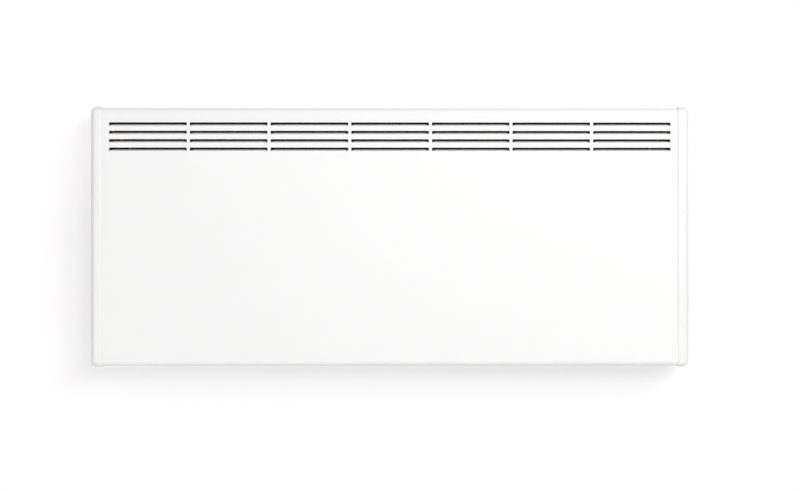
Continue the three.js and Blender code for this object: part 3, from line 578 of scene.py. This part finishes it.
def folded_sheet(name, path, radius, thickness, axis, start, end):
    """Sheet metal bent along a path, given at the middle of its thickness, and straight along the axis."""
    line = filleted(path, radius)
    corners = [along(axis, place, point) for point in line for place in (start, end)]
    faces = [(2 * i, 2 * i + 1, 2 * i + 3, 2 * i + 2) for i in range(len(line) - 1)]
    return thickened(mesh_from(name, corners, faces), thickness, 0)


def thickened(mesh, thickness, offset):
    return with_modifiers(
        mesh, ("SOLIDIFY", {"thickness": thickness, "offset": offset, "use_even_offset": True}))


# ---- Front panel: one folded sheet with its louvres ----


def panel_path(low, high):
    """The sheet's outer face in (y, z), from the lip at the back, over the top and down to the bottom
    flange, and the places in this list where the louvres' openings start."""
    front, back, top, bottom = low.y, high.y, high.z, low.z
    path = [(back, top - PANEL_LIP)]
    path += arc((back - BACK_FOLD, top - BACK_FOLD), BACK_FOLD, 0, 90, 8)
    path += arc((front + FRONT_FOLD, top - FRONT_FOLD), FRONT_FOLD, 90, 180, 14)
    openings = []
    for row in range(LOUVRE_ROWS):
        openings.append(len(path))
        opening_top = top - LOUVRE_DROP - row * ROW_PITCH
        path += [(front, opening_top), (front, opening_top - LOUVRE_HEIGHT)]
    path += arc((front + FRONT_FOLD, bottom + FRONT_FOLD), FRONT_FOLD, 180, 270, 14)
    path.append((front + PANEL_FLANGE, bottom))
    return path, openings


def louvre_edges(end):
    """The panel's two ends and, between them, the left and right edge of each louvre."""
    edges = [-end]
    for column in range(LOUVRE_COLUMNS):
        middle = (column - (LOUVRE_COLUMNS - 1) / 2) * COLUMN_PITCH
        edges += [middle - LOUVRE_LENGTH / 2, middle + LOUVRE_LENGTH / 2]
    return edges + [end]


def blade_path():
    """(depth, height, length) along a blade from its root: an arc, then a straight tongue."""
    steps = 6
    path = []
    for i in range(steps + 1):
        angle = BLADE_TILT * i / steps
        path.append((BLADE_BEND * (1 - math.cos(angle)), BLADE_BEND * math.sin(angle), BLADE_BEND * angle))
    depth, height, length = path[-1]
    for share in (0.5, 1.0):
        rest = (LOUVRE_HEIGHT - length) * share
        inwards, upwards = rest * math.sin(BLADE_TILT), rest * math.cos(BLADE_TILT)
        path.append((depth + inwards, height + upwards, length + rest))
    return path


def blade_inset(length):
    """How far a blade's end is drawn in at this length from its root."""
    return max(0.0, (length - BLADE_STRAIGHT) / (LOUVRE_HEIGHT - BLADE_STRAIGHT)) * BLADE_CORNER


def add_blade(corners, faces, root, left, right, front):
    """Grows a blade from the opening's lower edge, whose left corner is the point called root."""
    height = corners[root][2]
    before = (root, root + 1)
    for depth, rise, length in blade_path()[1:]:
        inset = blade_inset(length)
        start = len(corners)
        corners += [(x, front + depth, height + rise) for x in (left + inset, right - inset)]
        faces.append((before[0], before[1], start + 1, start))
        before = (start, start + 1)


def panel_face(low, high):
    """The panel's outer face, with its openings and the blades on their lower edges."""
    path, openings = panel_path(low, high)
    edges = louvre_edges(high.x)
    across = len(edges)
    corners = [(x, y, z) for y, z in path for x in edges]
    faces = []
    for row in range(len(path) - 1):
        for column in range(across - 1):
            if row in openings and column % 2 == 1:
                continue
            a = row * across + column
            faces.append((a, a + 1, a + across + 1, a + across))
    for row in openings:
        for column in range(1, across - 1, 2):
            root = (row + 1) * across + column
            add_blade(corners, faces, root, edges[column], edges[column + 1], low.y)
    return outward(mesh_from("front_panel_sheet", corners, faces))


def outward(mesh):
    """Turns an open sheet's faces so that its front faces -Y."""
    front = max(mesh.polygons, key=lambda face: face.area)
    if front.normal.y > 0:
        mesh.flip_normals()
    return mesh


def screw_tab(screw_name, low):
    """The part of the bottom flange that a screw goes through, between two inlet slots."""
    head_low, head_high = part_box(screw_name)
    x, y = (head_low.x + head_high.x) / 2, (head_low.y + head_high.y) / 2
    outline = rounded_rectangle(
        x - TAB_HALF, x + TAB_HALF, low.y + PANEL_FLANGE - MM, y + TAB_HALF, 3 * MM, 3 * MM, 6)
    return prism("tab", outline, "Z", low.z + 0.02 * MM, low.z + SHEET - 0.02 * MM)


def front_panel(finishes):
    low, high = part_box("front_panel")
    sheet = thickened(panel_face(low, high), SHEET, -1)
    for side in (-1, 1):  # the lip stops short of the end plates
        near, far = sorted((side * (high.x - PANEL_LIP_STOP), side * (high.x + MM)))
        corner = block((near, high.y - 3.2 * MM, high.z - 23 * MM), (far, high.y + MM, high.z - SHEET))
        sheet = cut(sheet, corner)
    tabs = [screw_tab(f"bottom_screw_{number}", low) for number in (1, 2, 3)]
    mesh = soft_edges(together("front_panel_sheet", sheet, *tabs), 0.22 * MM, 2, 60)
    link("front_panel_sheet", mesh, finishes["white_paint"], "heater", "front_panel")


# ---- End caps ----


def cap_stations(outer):
    """The rings of a cap, from deep in its hollow, over its lip, to its flat end: distance from the
    heater's middle, inset, inset at the back and what is added to the inset at the top."""
    inner = outer - CAP_WIDTH
    hollow = CAP_FILLET - CAP_WALL - 0.6 * MM  # radius along the hollow's outer end
    stations = []
    for x, y in arc((outer - CAP_WALL - hollow, CAP_WALL + hollow), hollow, 0, 90, 8):
        stations.append((x, 2 * (CAP_WALL + hollow) - y, CAP_WALL, 0))
    stations += [
        (inner + CAP_LIP_REACH + 0.2 * MM, CAP_WALL, CAP_WALL, 0),
        (inner + CAP_LIP_REACH, CAP_LIP, CAP_WALL, CAP_TOP_EXTRA),
        (inner + 0.15 * MM, CAP_LIP, CAP_WALL, CAP_TOP_EXTRA),
        (inner, CAP_LIP - 0.06 * MM, CAP_WALL - 0.1 * MM, CAP_TOP_EXTRA),
    ]
    for across, rise in arc((0, 0), 1.0, 180, 90, 8):
        drop = 1 - rise
        inset = (CAP_LIP - 0.15 * MM) * drop
        stations.append((inner + CAP_SLOPE * (1 + across), inset, 0.2 * MM, CAP_TOP_EXTRA * drop))
    for x, y in arc((outer - CAP_FILLET, CAP_FILLET), CAP_FILLET, 90, 0, 14):
        share = 1 - (y / CAP_FILLET - 1)
        stations.append((x, 2 * CAP_FILLET - y, 1.5 * MM * max(0.0, share), 0))
    return stations


def end_cap(name, side, tools):
    """A cap as one closed shell, open at the back for the panels' ends and cut by the tools."""
    low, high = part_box(name)
    panel_low, panel_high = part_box("front_panel")
    rings = []
    for x, inset, back, more in cap_stations(high.x if side > 0 else -low.x):
        radius = max(CAP_FILLET + 0.1 * MM - inset, 0.1 * MM)
        outline = rounded_rectangle(
            low.y + inset, high.y - back, low.z + inset, high.z - inset - more, radius, 1.2 * MM, 10)
        rings.append([(side * x, y, z) for y, z in outline])
    body = loft(name + "_shell", rings)
    near, far = sorted((side * (panel_high.x - 40 * MM), side * (panel_high.x + GAP)))
    opening = block((near, high.y - 12 * MM, panel_low.z - GAP), (far, high.y + MM, panel_high.z + GAP))
    return cut(body, opening, *tools)


def end_caps(finishes):
    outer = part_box("end_cap_right")[1].x
    window = loft("window", [bezel_ring(outer + reach * MM, -GAP, 5 * MM) for reach in (-20, 2)])
    for name, side, tools in (("end_cap_left", -1, []), ("end_cap_right", 1, [window])):
        mesh = soft_edges(end_cap(name, side, tools), 0.3 * MM, 2, 50)
        link(name + "_shell", mesh, finishes["white_plastic"], "heater", name)


# ---- Controls ----


def bezel_ring(x, inset, radius):
    """The bezel's outline at a place in X, drawn in by the inset."""
    low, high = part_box("control_bezel")
    outline = rounded_rectangle(
        low.y + inset, high.y - inset, low.z + inset, high.z - inset, radius, radius, 6)
    return [(x, y, z) for y, z in outline]


def recess_floor():
    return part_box("control_bezel")[0].x + BEZEL_FLOOR


def control_bezel(finishes):
    """The recess: a moulded tray set flush in the right end cap."""
    floor, mouth = recess_floor(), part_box("control_bezel")[1].x
    rings = [bezel_ring(floor - 2 * MM, 0, 4.7 * MM), bezel_ring(mouth - 0.5 * MM, 0, 4.7 * MM)]
    rim = [(0.15, 0.15, 4.6), (0, 0.5, 4.3), (0, 0.95, 4.0), (0.15, 1.3, 3.6), (0.6, 1.5, 3.3)]
    for x, inset, radius in rim:
        rings.append(bezel_ring(mouth - x * MM, inset * MM, radius * MM))
    fillet = 1.5 * MM
    for x, inset in arc((floor + fillet, BEZEL_WALL + fillet), fillet, 270, 180, 6):
        rings.append(bezel_ring(x, inset, 3.2 * MM))
    tray = loft("control_bezel_tray", rings)
    holes = [
        cylinder("hole", floor - 4 * MM, floor + 2 * MM, radius * MM, middle_yz(node))
        for node, radius in (("thermostat_knob", 4.8), ("indicator_lamp", 3.0))
    ]
    low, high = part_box("switch_housing")
    middle = Vector((floor, *((low + high) / 2).yz))
    reach = Vector((6, 6.5, 9.6)) * MM
    mesh = soft_edges(cut(tray, *holes, block(middle - reach, middle + reach)), 0.15 * MM, 1, 50)
    link("control_bezel_tray", mesh, finishes["grey_plastic"], "heater", "control_bezel")


def facing_right(spot):
    """Where lettering goes that is read from the heater's right side."""
    turn = Matrix(((0, 0, 1), (1, 0, 0), (0, 1, 0))).to_4x4()
    return Matrix.Translation(spot) @ turn


def lettering(text, height, matrix):
    curve = bpy.data.curves.new("lettering", "FONT")
    curve.body = text
    curve.size = height
    curve.extrude = 0.05 * MM
    curve.align_x = "CENTER"
    curve.align_y = "CENTER"
    carrier = bpy.data.objects.new("lettering", curve)
    bpy.context.scene.collection.objects.link(carrier)
    mesh = evaluated(carrier)
    bpy.data.objects.remove(carrier)
    return moved(mesh, matrix)


def dial_marks(finishes):
    """Ticks and numbers printed on the recess's floor round the knob."""
    floor = recess_floor()
    y, z = middle_yz("thermostat_knob")
    pieces = []
    for index in range(TICK_COUNT):
        angle = math.radians(FIRST_TICK - TICK_STEP * index)
        is_long = index % LONG_TICK == 0
        near, far, half = (15.9, 17.3, 0.16) if is_long else (15.9, 16.7, 0.11)
        tick = block((floor - 0.02 * MM, near * MM, -half * MM), (floor + 0.06 * MM, far * MM, half * MM))
        pieces.append(moved(tick, Matrix.Translation((0, y, z)) @ Matrix.Rotation(angle, 4, "X")))
        if is_long:
            spot = (floor, y + NUMBER_RADIUS * math.cos(angle), z + NUMBER_RADIUS * math.sin(angle))
            pieces.append(lettering(str(index // LONG_TICK), 3.5 * MM, facing_right(spot)))
    link("dial_marks", together("dial_marks", *pieces), finishes["ink"], "heater")


def thermostat_knob(finishes):
    """A moulded knob: a round skirt with a raised grip bar and a printed pointer."""
    low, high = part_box("thermostat_knob")
    y, z = middle_yz("thermostat_knob")
    start = low.x - 0.8 * MM  # the floor it turns over
    skirt = [(0.8, 14.3), (0.8, 14.7), (1.05, 15), (3.5, 15), (4.1, 14.8), (4.45, 14.3), (4.6, 13.6),
             (4.9, 10.6), (5.15, 9.7), (5.6, 9.2), (8.3, 8.9), (8.8, 8.6), (9, 8.0)]
    body = moved(turned("knob", [(x * MM, radius * MM) for x, radius in skirt], 96),
                 Matrix.Translation((start, y, z)))
    rings = []
    for x, inset in [(3.2, 0), (11.2, 0.35), (11.9, 0.5), (12.3, 0.85), (12.47, 1.25), (12.5, 1.6)]:
        outline = rounded_slot(y, z, (4.2 - inset) * MM, (13 - inset) * MM, (3.4 - inset) * MM, 8)
        rings.append([(start + x * MM, a, b) for a, b in outline])
    body = combined(body, loft("grip", rings), "UNION")
    hollow = cylinder("hollow", start, start + 3.2 * MM, 8.3 * MM, (y, z))
    bore = cylinder("bore", start, start + 10.4 * MM, 3.3 * MM, (y, z))
    mesh = soft_edges(cut(body, hollow, bore), 0.5 * MM, 3, 50)
    link("thermostat_knob_moulding", mesh, finishes["white_plastic"], "dial", "thermostat_knob")
    pointer = block((high.x - 0.03 * MM, y - 0.45 * MM, z + 4 * MM),
                    (high.x + 0.05 * MM, y + 0.45 * MM, z + 11.2 * MM))
    link("knob_pointer", pointer, finishes["ink"], "dial")


def rocker_place():
    """The rocker's own axes: its pivot, turned to the angle at which it rests."""
    joint = next(joint for joint in frame["joints"] if joint["name"] == "rocker_tilt")
    rest = -math.radians((joint["range_deg"][0] + joint["range_deg"][1]) / 2)
    return Matrix.Translation(joint["pos_m"]) @ Matrix.Rotation(rest, 4, "Y")


def rocker_face(z):
    """How far the dished face stands off the pivot at this height."""
    return ROCKER_FACE + ROCKER_DISH * (z / ROCKER_HALF) ** 2


def switch_rocker(finishes):
    """The rocker, with a dished face and its two printed marks."""
    heights = [1.2 * step for step in range(-6, 7)]
    outline = [(-4, 3.5), (-4, -3.5), (1.5, -ROCKER_HALF)]
    outline += [(rocker_face(z), z) for z in heights] + [(1.5, ROCKER_HALF)]
    body = prism("rocker", [(x * MM, z * MM) for x, z in outline], "Y", -4.8 * MM, 4.8 * MM)
    pin = prism("pin", circle((0, 0), ROCKER_BORE * MM, 24), "Y", -6 * MM, 6 * MM)
    mesh = moved(soft_edges(cut(body, pin), 0.35 * MM, 3, 50), rocker_place())
    link("switch_rocker_moulding", mesh, finishes["white_plastic"], "rocker", "switch_rocker")
    marks = []
    for text, z in (("I", 4.3), ("O", -4.3)):
        lean = math.atan(2 * ROCKER_DISH * z / ROCKER_HALF ** 2)
        face = Matrix.Translation((rocker_face(z) * MM, 0, z * MM)) @ Matrix.Rotation(lean, 4, "Y")
        marks.append(lettering(text, 3.1 * MM, rocker_place() @ face @ facing_right((0, 0, 0))))
    link("rocker_marks", together("rocker_marks", *marks), finishes["ink"], "rocker")


def switch_housing(finishes):
    """A snap-in switch body with a rounded flange and the pocket the rocker sits in."""
    low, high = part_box("switch_housing")
    middle = (low + high) / 2
    underside = high.x - 1.7 * MM
    rings = []
    for x, inset in [(underside, 0), (high.x - 0.6 * MM, 0), (high.x - 0.2 * MM, 0.15), (high.x, 0.55)]:
        outline = rounded_rectangle(
            low.y + inset * MM, high.y - inset * MM, low.z + inset * MM, high.z - inset * MM,
            1.5 * MM, 1.5 * MM, 6)
        rings.append([(x, y, z) for y, z in outline])
    reach_y, reach_z = 6.2 * MM, 9.3 * MM
    body = block((low.x, middle.y - reach_y, middle.z - reach_z),
                 (underside + 0.5 * MM, middle.y + reach_y, middle.z + reach_z))
    pocket = block((low.x + 5 * MM, middle.y - 5.1 * MM, middle.z - 8.3 * MM),
                   (high.x + MM, middle.y + 5.1 * MM, middle.z + 8.3 * MM))
    pivot = (rocker_place()[0][3], middle.z)
    pin = prism("pin", circle(pivot, ROCKER_BORE * MM, 24), "Y", middle.y - 8 * MM, middle.y + 8 * MM)
    mesh = soft_edges(cut(combined(loft("flange", rings), body, "UNION"), pocket, pin), 0.2 * MM, 2, 50)
    link("switch_housing_moulding", mesh, finishes["dark_plastic"], "heater", "switch_housing")


def indicator_lamp(finishes):
    """A collared lens with a domed end."""
    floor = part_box("indicator_lamp")[1].x - 2.3 * MM
    profile = [(-9, 2.4), (-8.7, 2.7), (0.3, 2.7), (0.3, 3.65), (0.42, 3.8), (0.78, 3.8), (0.95, 3.68),
               (1.0, 3.2)]
    for step in range(1, 8):
        angle = step * QUARTER / 8
        profile.append((1.0 + 1.3 * math.sin(angle), 3.1 * math.cos(angle)))
    mesh = turned("lens", [(x * MM, radius * MM) for x, radius in profile], 40)
    mesh = shaded(moved(mesh, Matrix.Translation((floor, *middle_yz("indicator_lamp")))))
    link("indicator_lamp_lens", mesh, finishes["lamp"], "heater", "indicator_lamp")


# ---- Back of the casing, and what it hangs on ----


def inlet_slots(low, high):
    """Tools for the rows of slots in the bottom flange that let cold air in."""
    slots = []
    for y in (high.y - 30 * MM, high.y - 20 * MM, high.y - 10 * MM):
        for column in range(INLET_COLUMNS):
            x = (column - (INLET_COLUMNS - 1) / 2) * INLET_PITCH
            outline = rounded_slot(x, y, 31 * MM, 3 * MM, 3 * MM, 6)
            slots.append(prism("slot", outline, "Z", low.z - MM, low.z + 2 * MM))
    return slots


def hook_slots(high):
    """Tools for the slots that the bracket's hooks go through, by whose upper ends the casing hangs."""
    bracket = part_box("wall_bracket")[1]
    seat = bracket.z - 25 * MM + GAP
    slots = []
    for side in (-1, 1):
        x = side * (bracket.x - BRACKET_SHEET / 2)
        outline = rounded_rectangle(
            x - 1.6 * MM, x + 1.6 * MM, seat - HOOK_SLOT, seat, 0.6 * MM, 0.6 * MM, 3)
        slots.append(prism("hook_slot", outline, "Y", high.y - 3 * MM, high.y + MM))
    return slots


def back_panel(finishes):
    """The folded back sheet, zinc outside and black inside, where the black is painted shade that darkens the
    louvre slits.
    """
    low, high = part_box("back_panel")
    back, floor = high.y - SHEET / 2, low.z + SHEET / 2
    path = [(back, high.z), (back, floor), (low.y, floor)]
    sheet = folded_sheet("back_sheet", path, 2 * MM, SHEET, "X", low.x, high.x)
    gland_x, _, gland_z = sum(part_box("cable_gland"), Vector()) / 2
    gland_hole = prism("gland_hole", circle((gland_x, gland_z), 8.3 * MM, 40), "Y",
                       high.y - 3 * MM, high.y + MM)
    openings = together("openings", *inlet_slots(low, high), *hook_slots(high), gland_hole)
    mesh = soft_edges(cut(sheet, openings), 0.15 * MM, 1, 50)
    piece = link("back_panel_sheet", mesh, finishes["zinc"], "heater", "back_panel")
    piece.data.materials.append(finishes["inner_coat"])
    # painted shade: the sheet's inner faces and its floor take the black coat, so the louvre slits look dark
    for face in piece.data.polygons:
        is_floor = face.normal.z > 0.5 and face.center.z < floor + 3 * MM
        if face.normal.y < -0.5 or is_floor:
            face.material_index = 1


def bracket_upright(low, high):
    """The right upright: a channel whose outer side grows into the hook, with a pad for the bumper."""
    outer, inner = high.x, high.x - UPRIGHT_WIDTH
    mid = BRACKET_SHEET / 2
    path = [(outer - mid, low.y - MM), (outer - mid, high.y - mid),
            (inner + mid, high.y - mid), (inner + mid, low.y - MM)]
    channel = folded_sheet("channel", path, BRACKET_FOLD, BRACKET_SHEET, "Z", low.z, high.z)
    # the two sides in millimetres, as depth from the wall and height from the bracket's middle
    hook = [(-1, -126), (15.5, -126), (15.5, -92), (8, -84), (8, 72), (16, 84), (23.5, 87), (27.7, 91),
            (27.7, 108), (25.7, 110), (23.7, 108), (23.7, 100), (21.3, 100), (21.3, 104), (18, 118),
            (10, 126), (-1, 126)]
    flange = [(-1, -123), (15.5, -123), (15.5, -92), (8, -92), (8, 118), (-1, 118)]
    plate = rounded_rectangle(inner - MM, outer + MM, low.z, high.z, 3 * MM, 3 * MM, 5)
    keep = prism("plate", plate, "Y", high.y - 2.4 * MM, high.y + MM)
    for outline, x in ((hook, outer - BRACKET_SHEET), (flange, inner)):
        side = prism("side", [(-depth * MM, z * MM) for depth, z in outline], "X",
                     x - 0.5 * MM, x + BRACKET_SHEET + 0.5 * MM)
        keep = combined(keep, side, "UNION")
    pad = block((inner + 0.1 * MM, -15.5 * MM, -122 * MM), (outer - 0.1 * MM, -14 * MM, -94 * MM))
    return combined(combined(channel, keep, "INTERSECT"), pad, "UNION")


def wall_bracket(finishes):
    """The steel bracket: two uprights with hooks, joined by a flanged cross bar."""
    low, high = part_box("wall_bracket")
    upright = bracket_upright(low, high)
    other = upright.copy()
    moved(other, Matrix.Scale(-1, 4, (1, 0, 0))).flip_normals()
    path = [(-8 * MM, 29.2 * MM), (-0.77 * MM, 29.2 * MM), (-0.77 * MM, -29.2 * MM), (-8 * MM, -29.2 * MM)]
    reach = high.x - UPRIGHT_WIDTH + 5 * MM
    bar = folded_sheet("cross_bar", path, BRACKET_FOLD, BRACKET_SHEET - 0.06 * MM, "X", -reach, reach)
    body = combined(combined(bar, upright, "UNION"), other, "UNION")
    outlines = []
    for side in (-1, 1):
        for z in (-108 * MM, 108 * MM):
            outlines.append(circle((side * (high.x - UPRIGHT_WIDTH / 2), z), WALL_HOLE, 32))
        outlines.append(rounded_slot(side * 90 * MM, 0, 11 * MM, WALL_HOLE, WALL_HOLE, 8))
    holes = together("holes", *(prism("hole", outline, "Y", -4 * MM, MM) for outline in outlines))
    mesh = soft_edges(cut(body, holes), 0.25 * MM, 2, 50)
    link("wall_bracket_pressing", mesh, finishes["zinc"], "wall_side", "wall_bracket")


def bumpers(finishes):
    """Rubber buffers that hold the heater's foot off the bracket."""
    for name in ("bumper_left", "bumper_right"):
        low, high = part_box(name)
        middle = (low + high) / 2
        length = (high.y - low.y) / MM
        profile = [(0, 6.6), (0.15, 6.9), (0.4, 7), (length - 4.6, 7), (length - 4.2, 7.1),
                   (length - 3.9, 7.6), (length - 3.6, 8.3), (length - 3.2, 8.5), (length - 0.5, 8.5),
                   (length - 0.15, 8.35), (length, 8.0)]
        mesh = turned("bumper", [(x * MM, radius * MM) for x, radius in profile], 48)
        place = Matrix.Translation((middle.x, low.y, middle.z)) @ Matrix.Rotation(QUARTER, 4, "Z")
        link(name + "_rubber", shaded(moved(mesh, place), 50), finishes["rubber"], "wall_side", name)


def cable_gland(finishes):
    """The bush the mains cable comes in through, with a ribbed grip."""
    low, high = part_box("cable_gland")
    middle = (low + high) / 2
    back = high.y - 12 * MM
    profile = [(-14, 4), (-14, 7.7), (-13.7, 8), (0.3, 8), (0.3, 10.7), (0.6, 11), (4.2, 11), (4.6, 10.7),
               (5, 9.8), (9.2, 9.3), (9.8, 9.0), (11.6, 7.4), (12, 6.8), (12, 4.5), (11.6, 4), (-14, 4)]
    mesh = turned("gland", [(x * MM, radius * MM) for x, radius in profile], 48)
    ribs = [moved(block((5.2 * MM, -0.5 * MM, 9 * MM), (9.0 * MM, 0.5 * MM, 9.9 * MM)),
                  Matrix.Rotation(math.radians(30 * step), 4, "X")) for step in range(12)]
    place = Matrix.Translation((middle.x, back, middle.z)) @ Matrix.Rotation(QUARTER, 4, "Z")
    mesh = moved(combined(mesh, together("ribs", *ribs), "UNION"), place)
    link("cable_gland_bush", shaded(mesh), finishes["dark_plastic"], "heater", "cable_gland")


# ---- Screws ----

SCREWS = [  # node; head radius, head height and length in millimetres; axis it turns about; endings
    ("top_screw", (3.8, 2, 8), "Z", ("1", "2", "3")),
    ("bottom_screw", (3.4, 1.4, 8), "Y", ("1", "2", "3")),
    ("cap_screw", (3.8, 2, 13), "Z", ("left_low", "left_high", "right_low", "right_high")),
]


def screw(head_radius, head_height, length):
    """A pan-head screw along +X from the underside of its head, in millimetres, with a cross recess."""
    profile = [(-head_height * rise, head_radius * out) for rise, out in
               [(1, 0.45), (0.97, 0.62), (0.8, 0.85), (0.5, 0.97), (0.25, 1), (0, 1)]]
    profile.append((0, 1.9))
    for turn in range(int((length - 2.5) / 0.9)):
        profile += [(0.5 + 0.9 * turn, 1.9), (0.8 + 0.9 * turn, 1.55), (1.1 + 0.9 * turn, 1.9)]
    profile += [(length - 1.6, 1.7), (length, 0.3)]
    mesh = turned("screw", [(x * MM, radius * MM) for x, radius in profile], 36)
    top, arm, depth = -head_height * MM, head_radius * 0.5 * MM, head_height * 0.55 * MM
    tools = [block((top - MM, -half_y, -half_z), (depth + top, half_y, half_z))
             for half_y, half_z in ((arm, 0.4 * MM), (0.4 * MM, arm))]
    return shaded(cut(mesh, *tools), 32)


def screws(finishes):
    for kind, sizes, axis, endings in SCREWS:
        pattern = screw(*sizes)
        turn = Matrix.Rotation(-QUARTER, 4, axis)
        head = sizes[1] * MM
        for ending in endings:
            name = f"{kind}_{ending}"
            low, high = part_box(name)
            spot = (low + high) / 2
            if kind == "bottom_screw":
                spot.z = low.z + head
            else:
                spot.y = high.y - head
            piece = link(name + "_turned", pattern, finishes["steel"], None)
            piece.matrix_world = Matrix.Translation(spot) @ turn
            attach(piece, "heater")
            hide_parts(name)


# ---- Setting ----


def white_wall():
    """Seen only from in front and only as white, darker where the heater keeps the light off."""
    wall = Finish("wall_white")
    plaster = wall.noise(90, 3.0)
    color = wall.between(plaster, (0.95, 0.94, 0.95), (0.96, 0.95, 0.96))
    paint = wall.node("BsdfDiffuse", None, {"Color": color})
    # painted shade colour: the glow is faintly pink, so the wall's shadows turn warm
    glow = wall.node("Emission", None, {"Color": (1, 0.984, 0.992, 1), "Strength": WALL_GLOW_STRENGTH})
    height = wall.node("SeparateXYZ", None, {0: wall.place()}, "Z")
    # painted light: the glow's share grows with height, lifting the shade above the heater
    share = WALL_GLOW + WALL_GLOW_RISE * wall.sum("MAXIMUM", height, 0.0)
    lit = wall.node("MixShader", None, {0: share, 1: paint, 2: glow})
    clear = wall.node("BsdfTransparent")
    facing = 1 - wall.node("NewGeometry", output="Backfacing")
    return wall.end(wall.node("MixShader", None, {0: wall.seen() * facing, 1: clear, 2: lit}))


def plain_stage():
    """The white wall that the heater hangs on, and a pale floor far below."""
    corners = [(-4, 0, FLOOR_LEVEL), (4, 0, FLOOR_LEVEL), (4, 0, 3), (-4, 0, 3)]
    add_plane("wall", corners, white_wall())
    floor = Finish("floor_pale")
    color = floor.between(floor.noise(60, 3.0), (0.80, 0.80, 0.80), (0.84, 0.84, 0.84))
    corners = [(-4, -5, FLOOR_LEVEL), (4, -5, FLOOR_LEVEL), (4, 3, FLOOR_LEVEL), (-4, 3, FLOOR_LEVEL)]
    add_plane("floor", corners, floor.surface(color=color, rough=0.7))


def add_plane(name, corners, material):
    mesh = bpy.data.meshes.new(name)
    mesh.from_pydata(corners, [], [(0, 1, 2, 3)])
    mesh.materials.append(material)
    plane = bpy.data.objects.new(name, mesh)
    bpy.context.scene.collection.objects.link(plane)


def add_lamp(name, place, size, power):
    data = bpy.data.lights.new(name, "AREA")
    data.shape = "DISK"
    data.size = size
    data.energy = power
    lamp = bpy.data.objects.new(name, data)
    lamp.location = place
    lamp.rotation_euler = (Vector(LAMP_AIM) - Vector(place)).to_track_quat("-Z", "Y").to_euler()
    bpy.context.scene.collection.objects.link(lamp)


def soft_light():
    """A large lamp at the upper right, a small one in front and a weak one low at the left, in a room
    that looks white and lights softly."""
    for lamp in LAMPS:
        add_lamp(*lamp)
    room = Finish("studio", "worlds")
    height = room.node("SeparateXYZ", None, {0: room.node("TexCoord", output="Generated")}, "Z")
    lighting = ROOM_LIGHT + SKY_LIGHT * room.sum("MAXIMUM", height, 0.0)
    strength = room.sum("MAXIMUM", lighting, room.seen())
    background = room.node("Background", None, {"Color": (1, 1, 1, 1), "Strength": strength})
    bpy.context.scene.world = room.end(background)


# ---- Carried CAD pieces ----


def dress_carried(finishes):
    """Gives every CAD node that still shows the finish of its material slot."""
    slots = {part["node"]: part["material_slot"] for part in frame["record"]["subparts"]}
    for node, piece in frame["nodes"].items():
        for slot in piece.material_slots:
            slot.material = finishes[slots[node]]


# ---- Making it ----

add_camera()
finishes = make_finishes()
dress_carried(finishes)
front_panel(finishes)
end_caps(finishes)
control_bezel(finishes)
dial_marks(finishes)
thermostat_knob(finishes)
switch_housing(finishes)
switch_rocker(finishes)
indicator_lamp(finishes)
back_panel(finishes)
wall_bracket(finishes)
bumpers(finishes)
cable_gland(finishes)
screws(finishes)
plain_stage()
soft_light()
bpy.context.scene.view_settings.view_transform = "Standard"
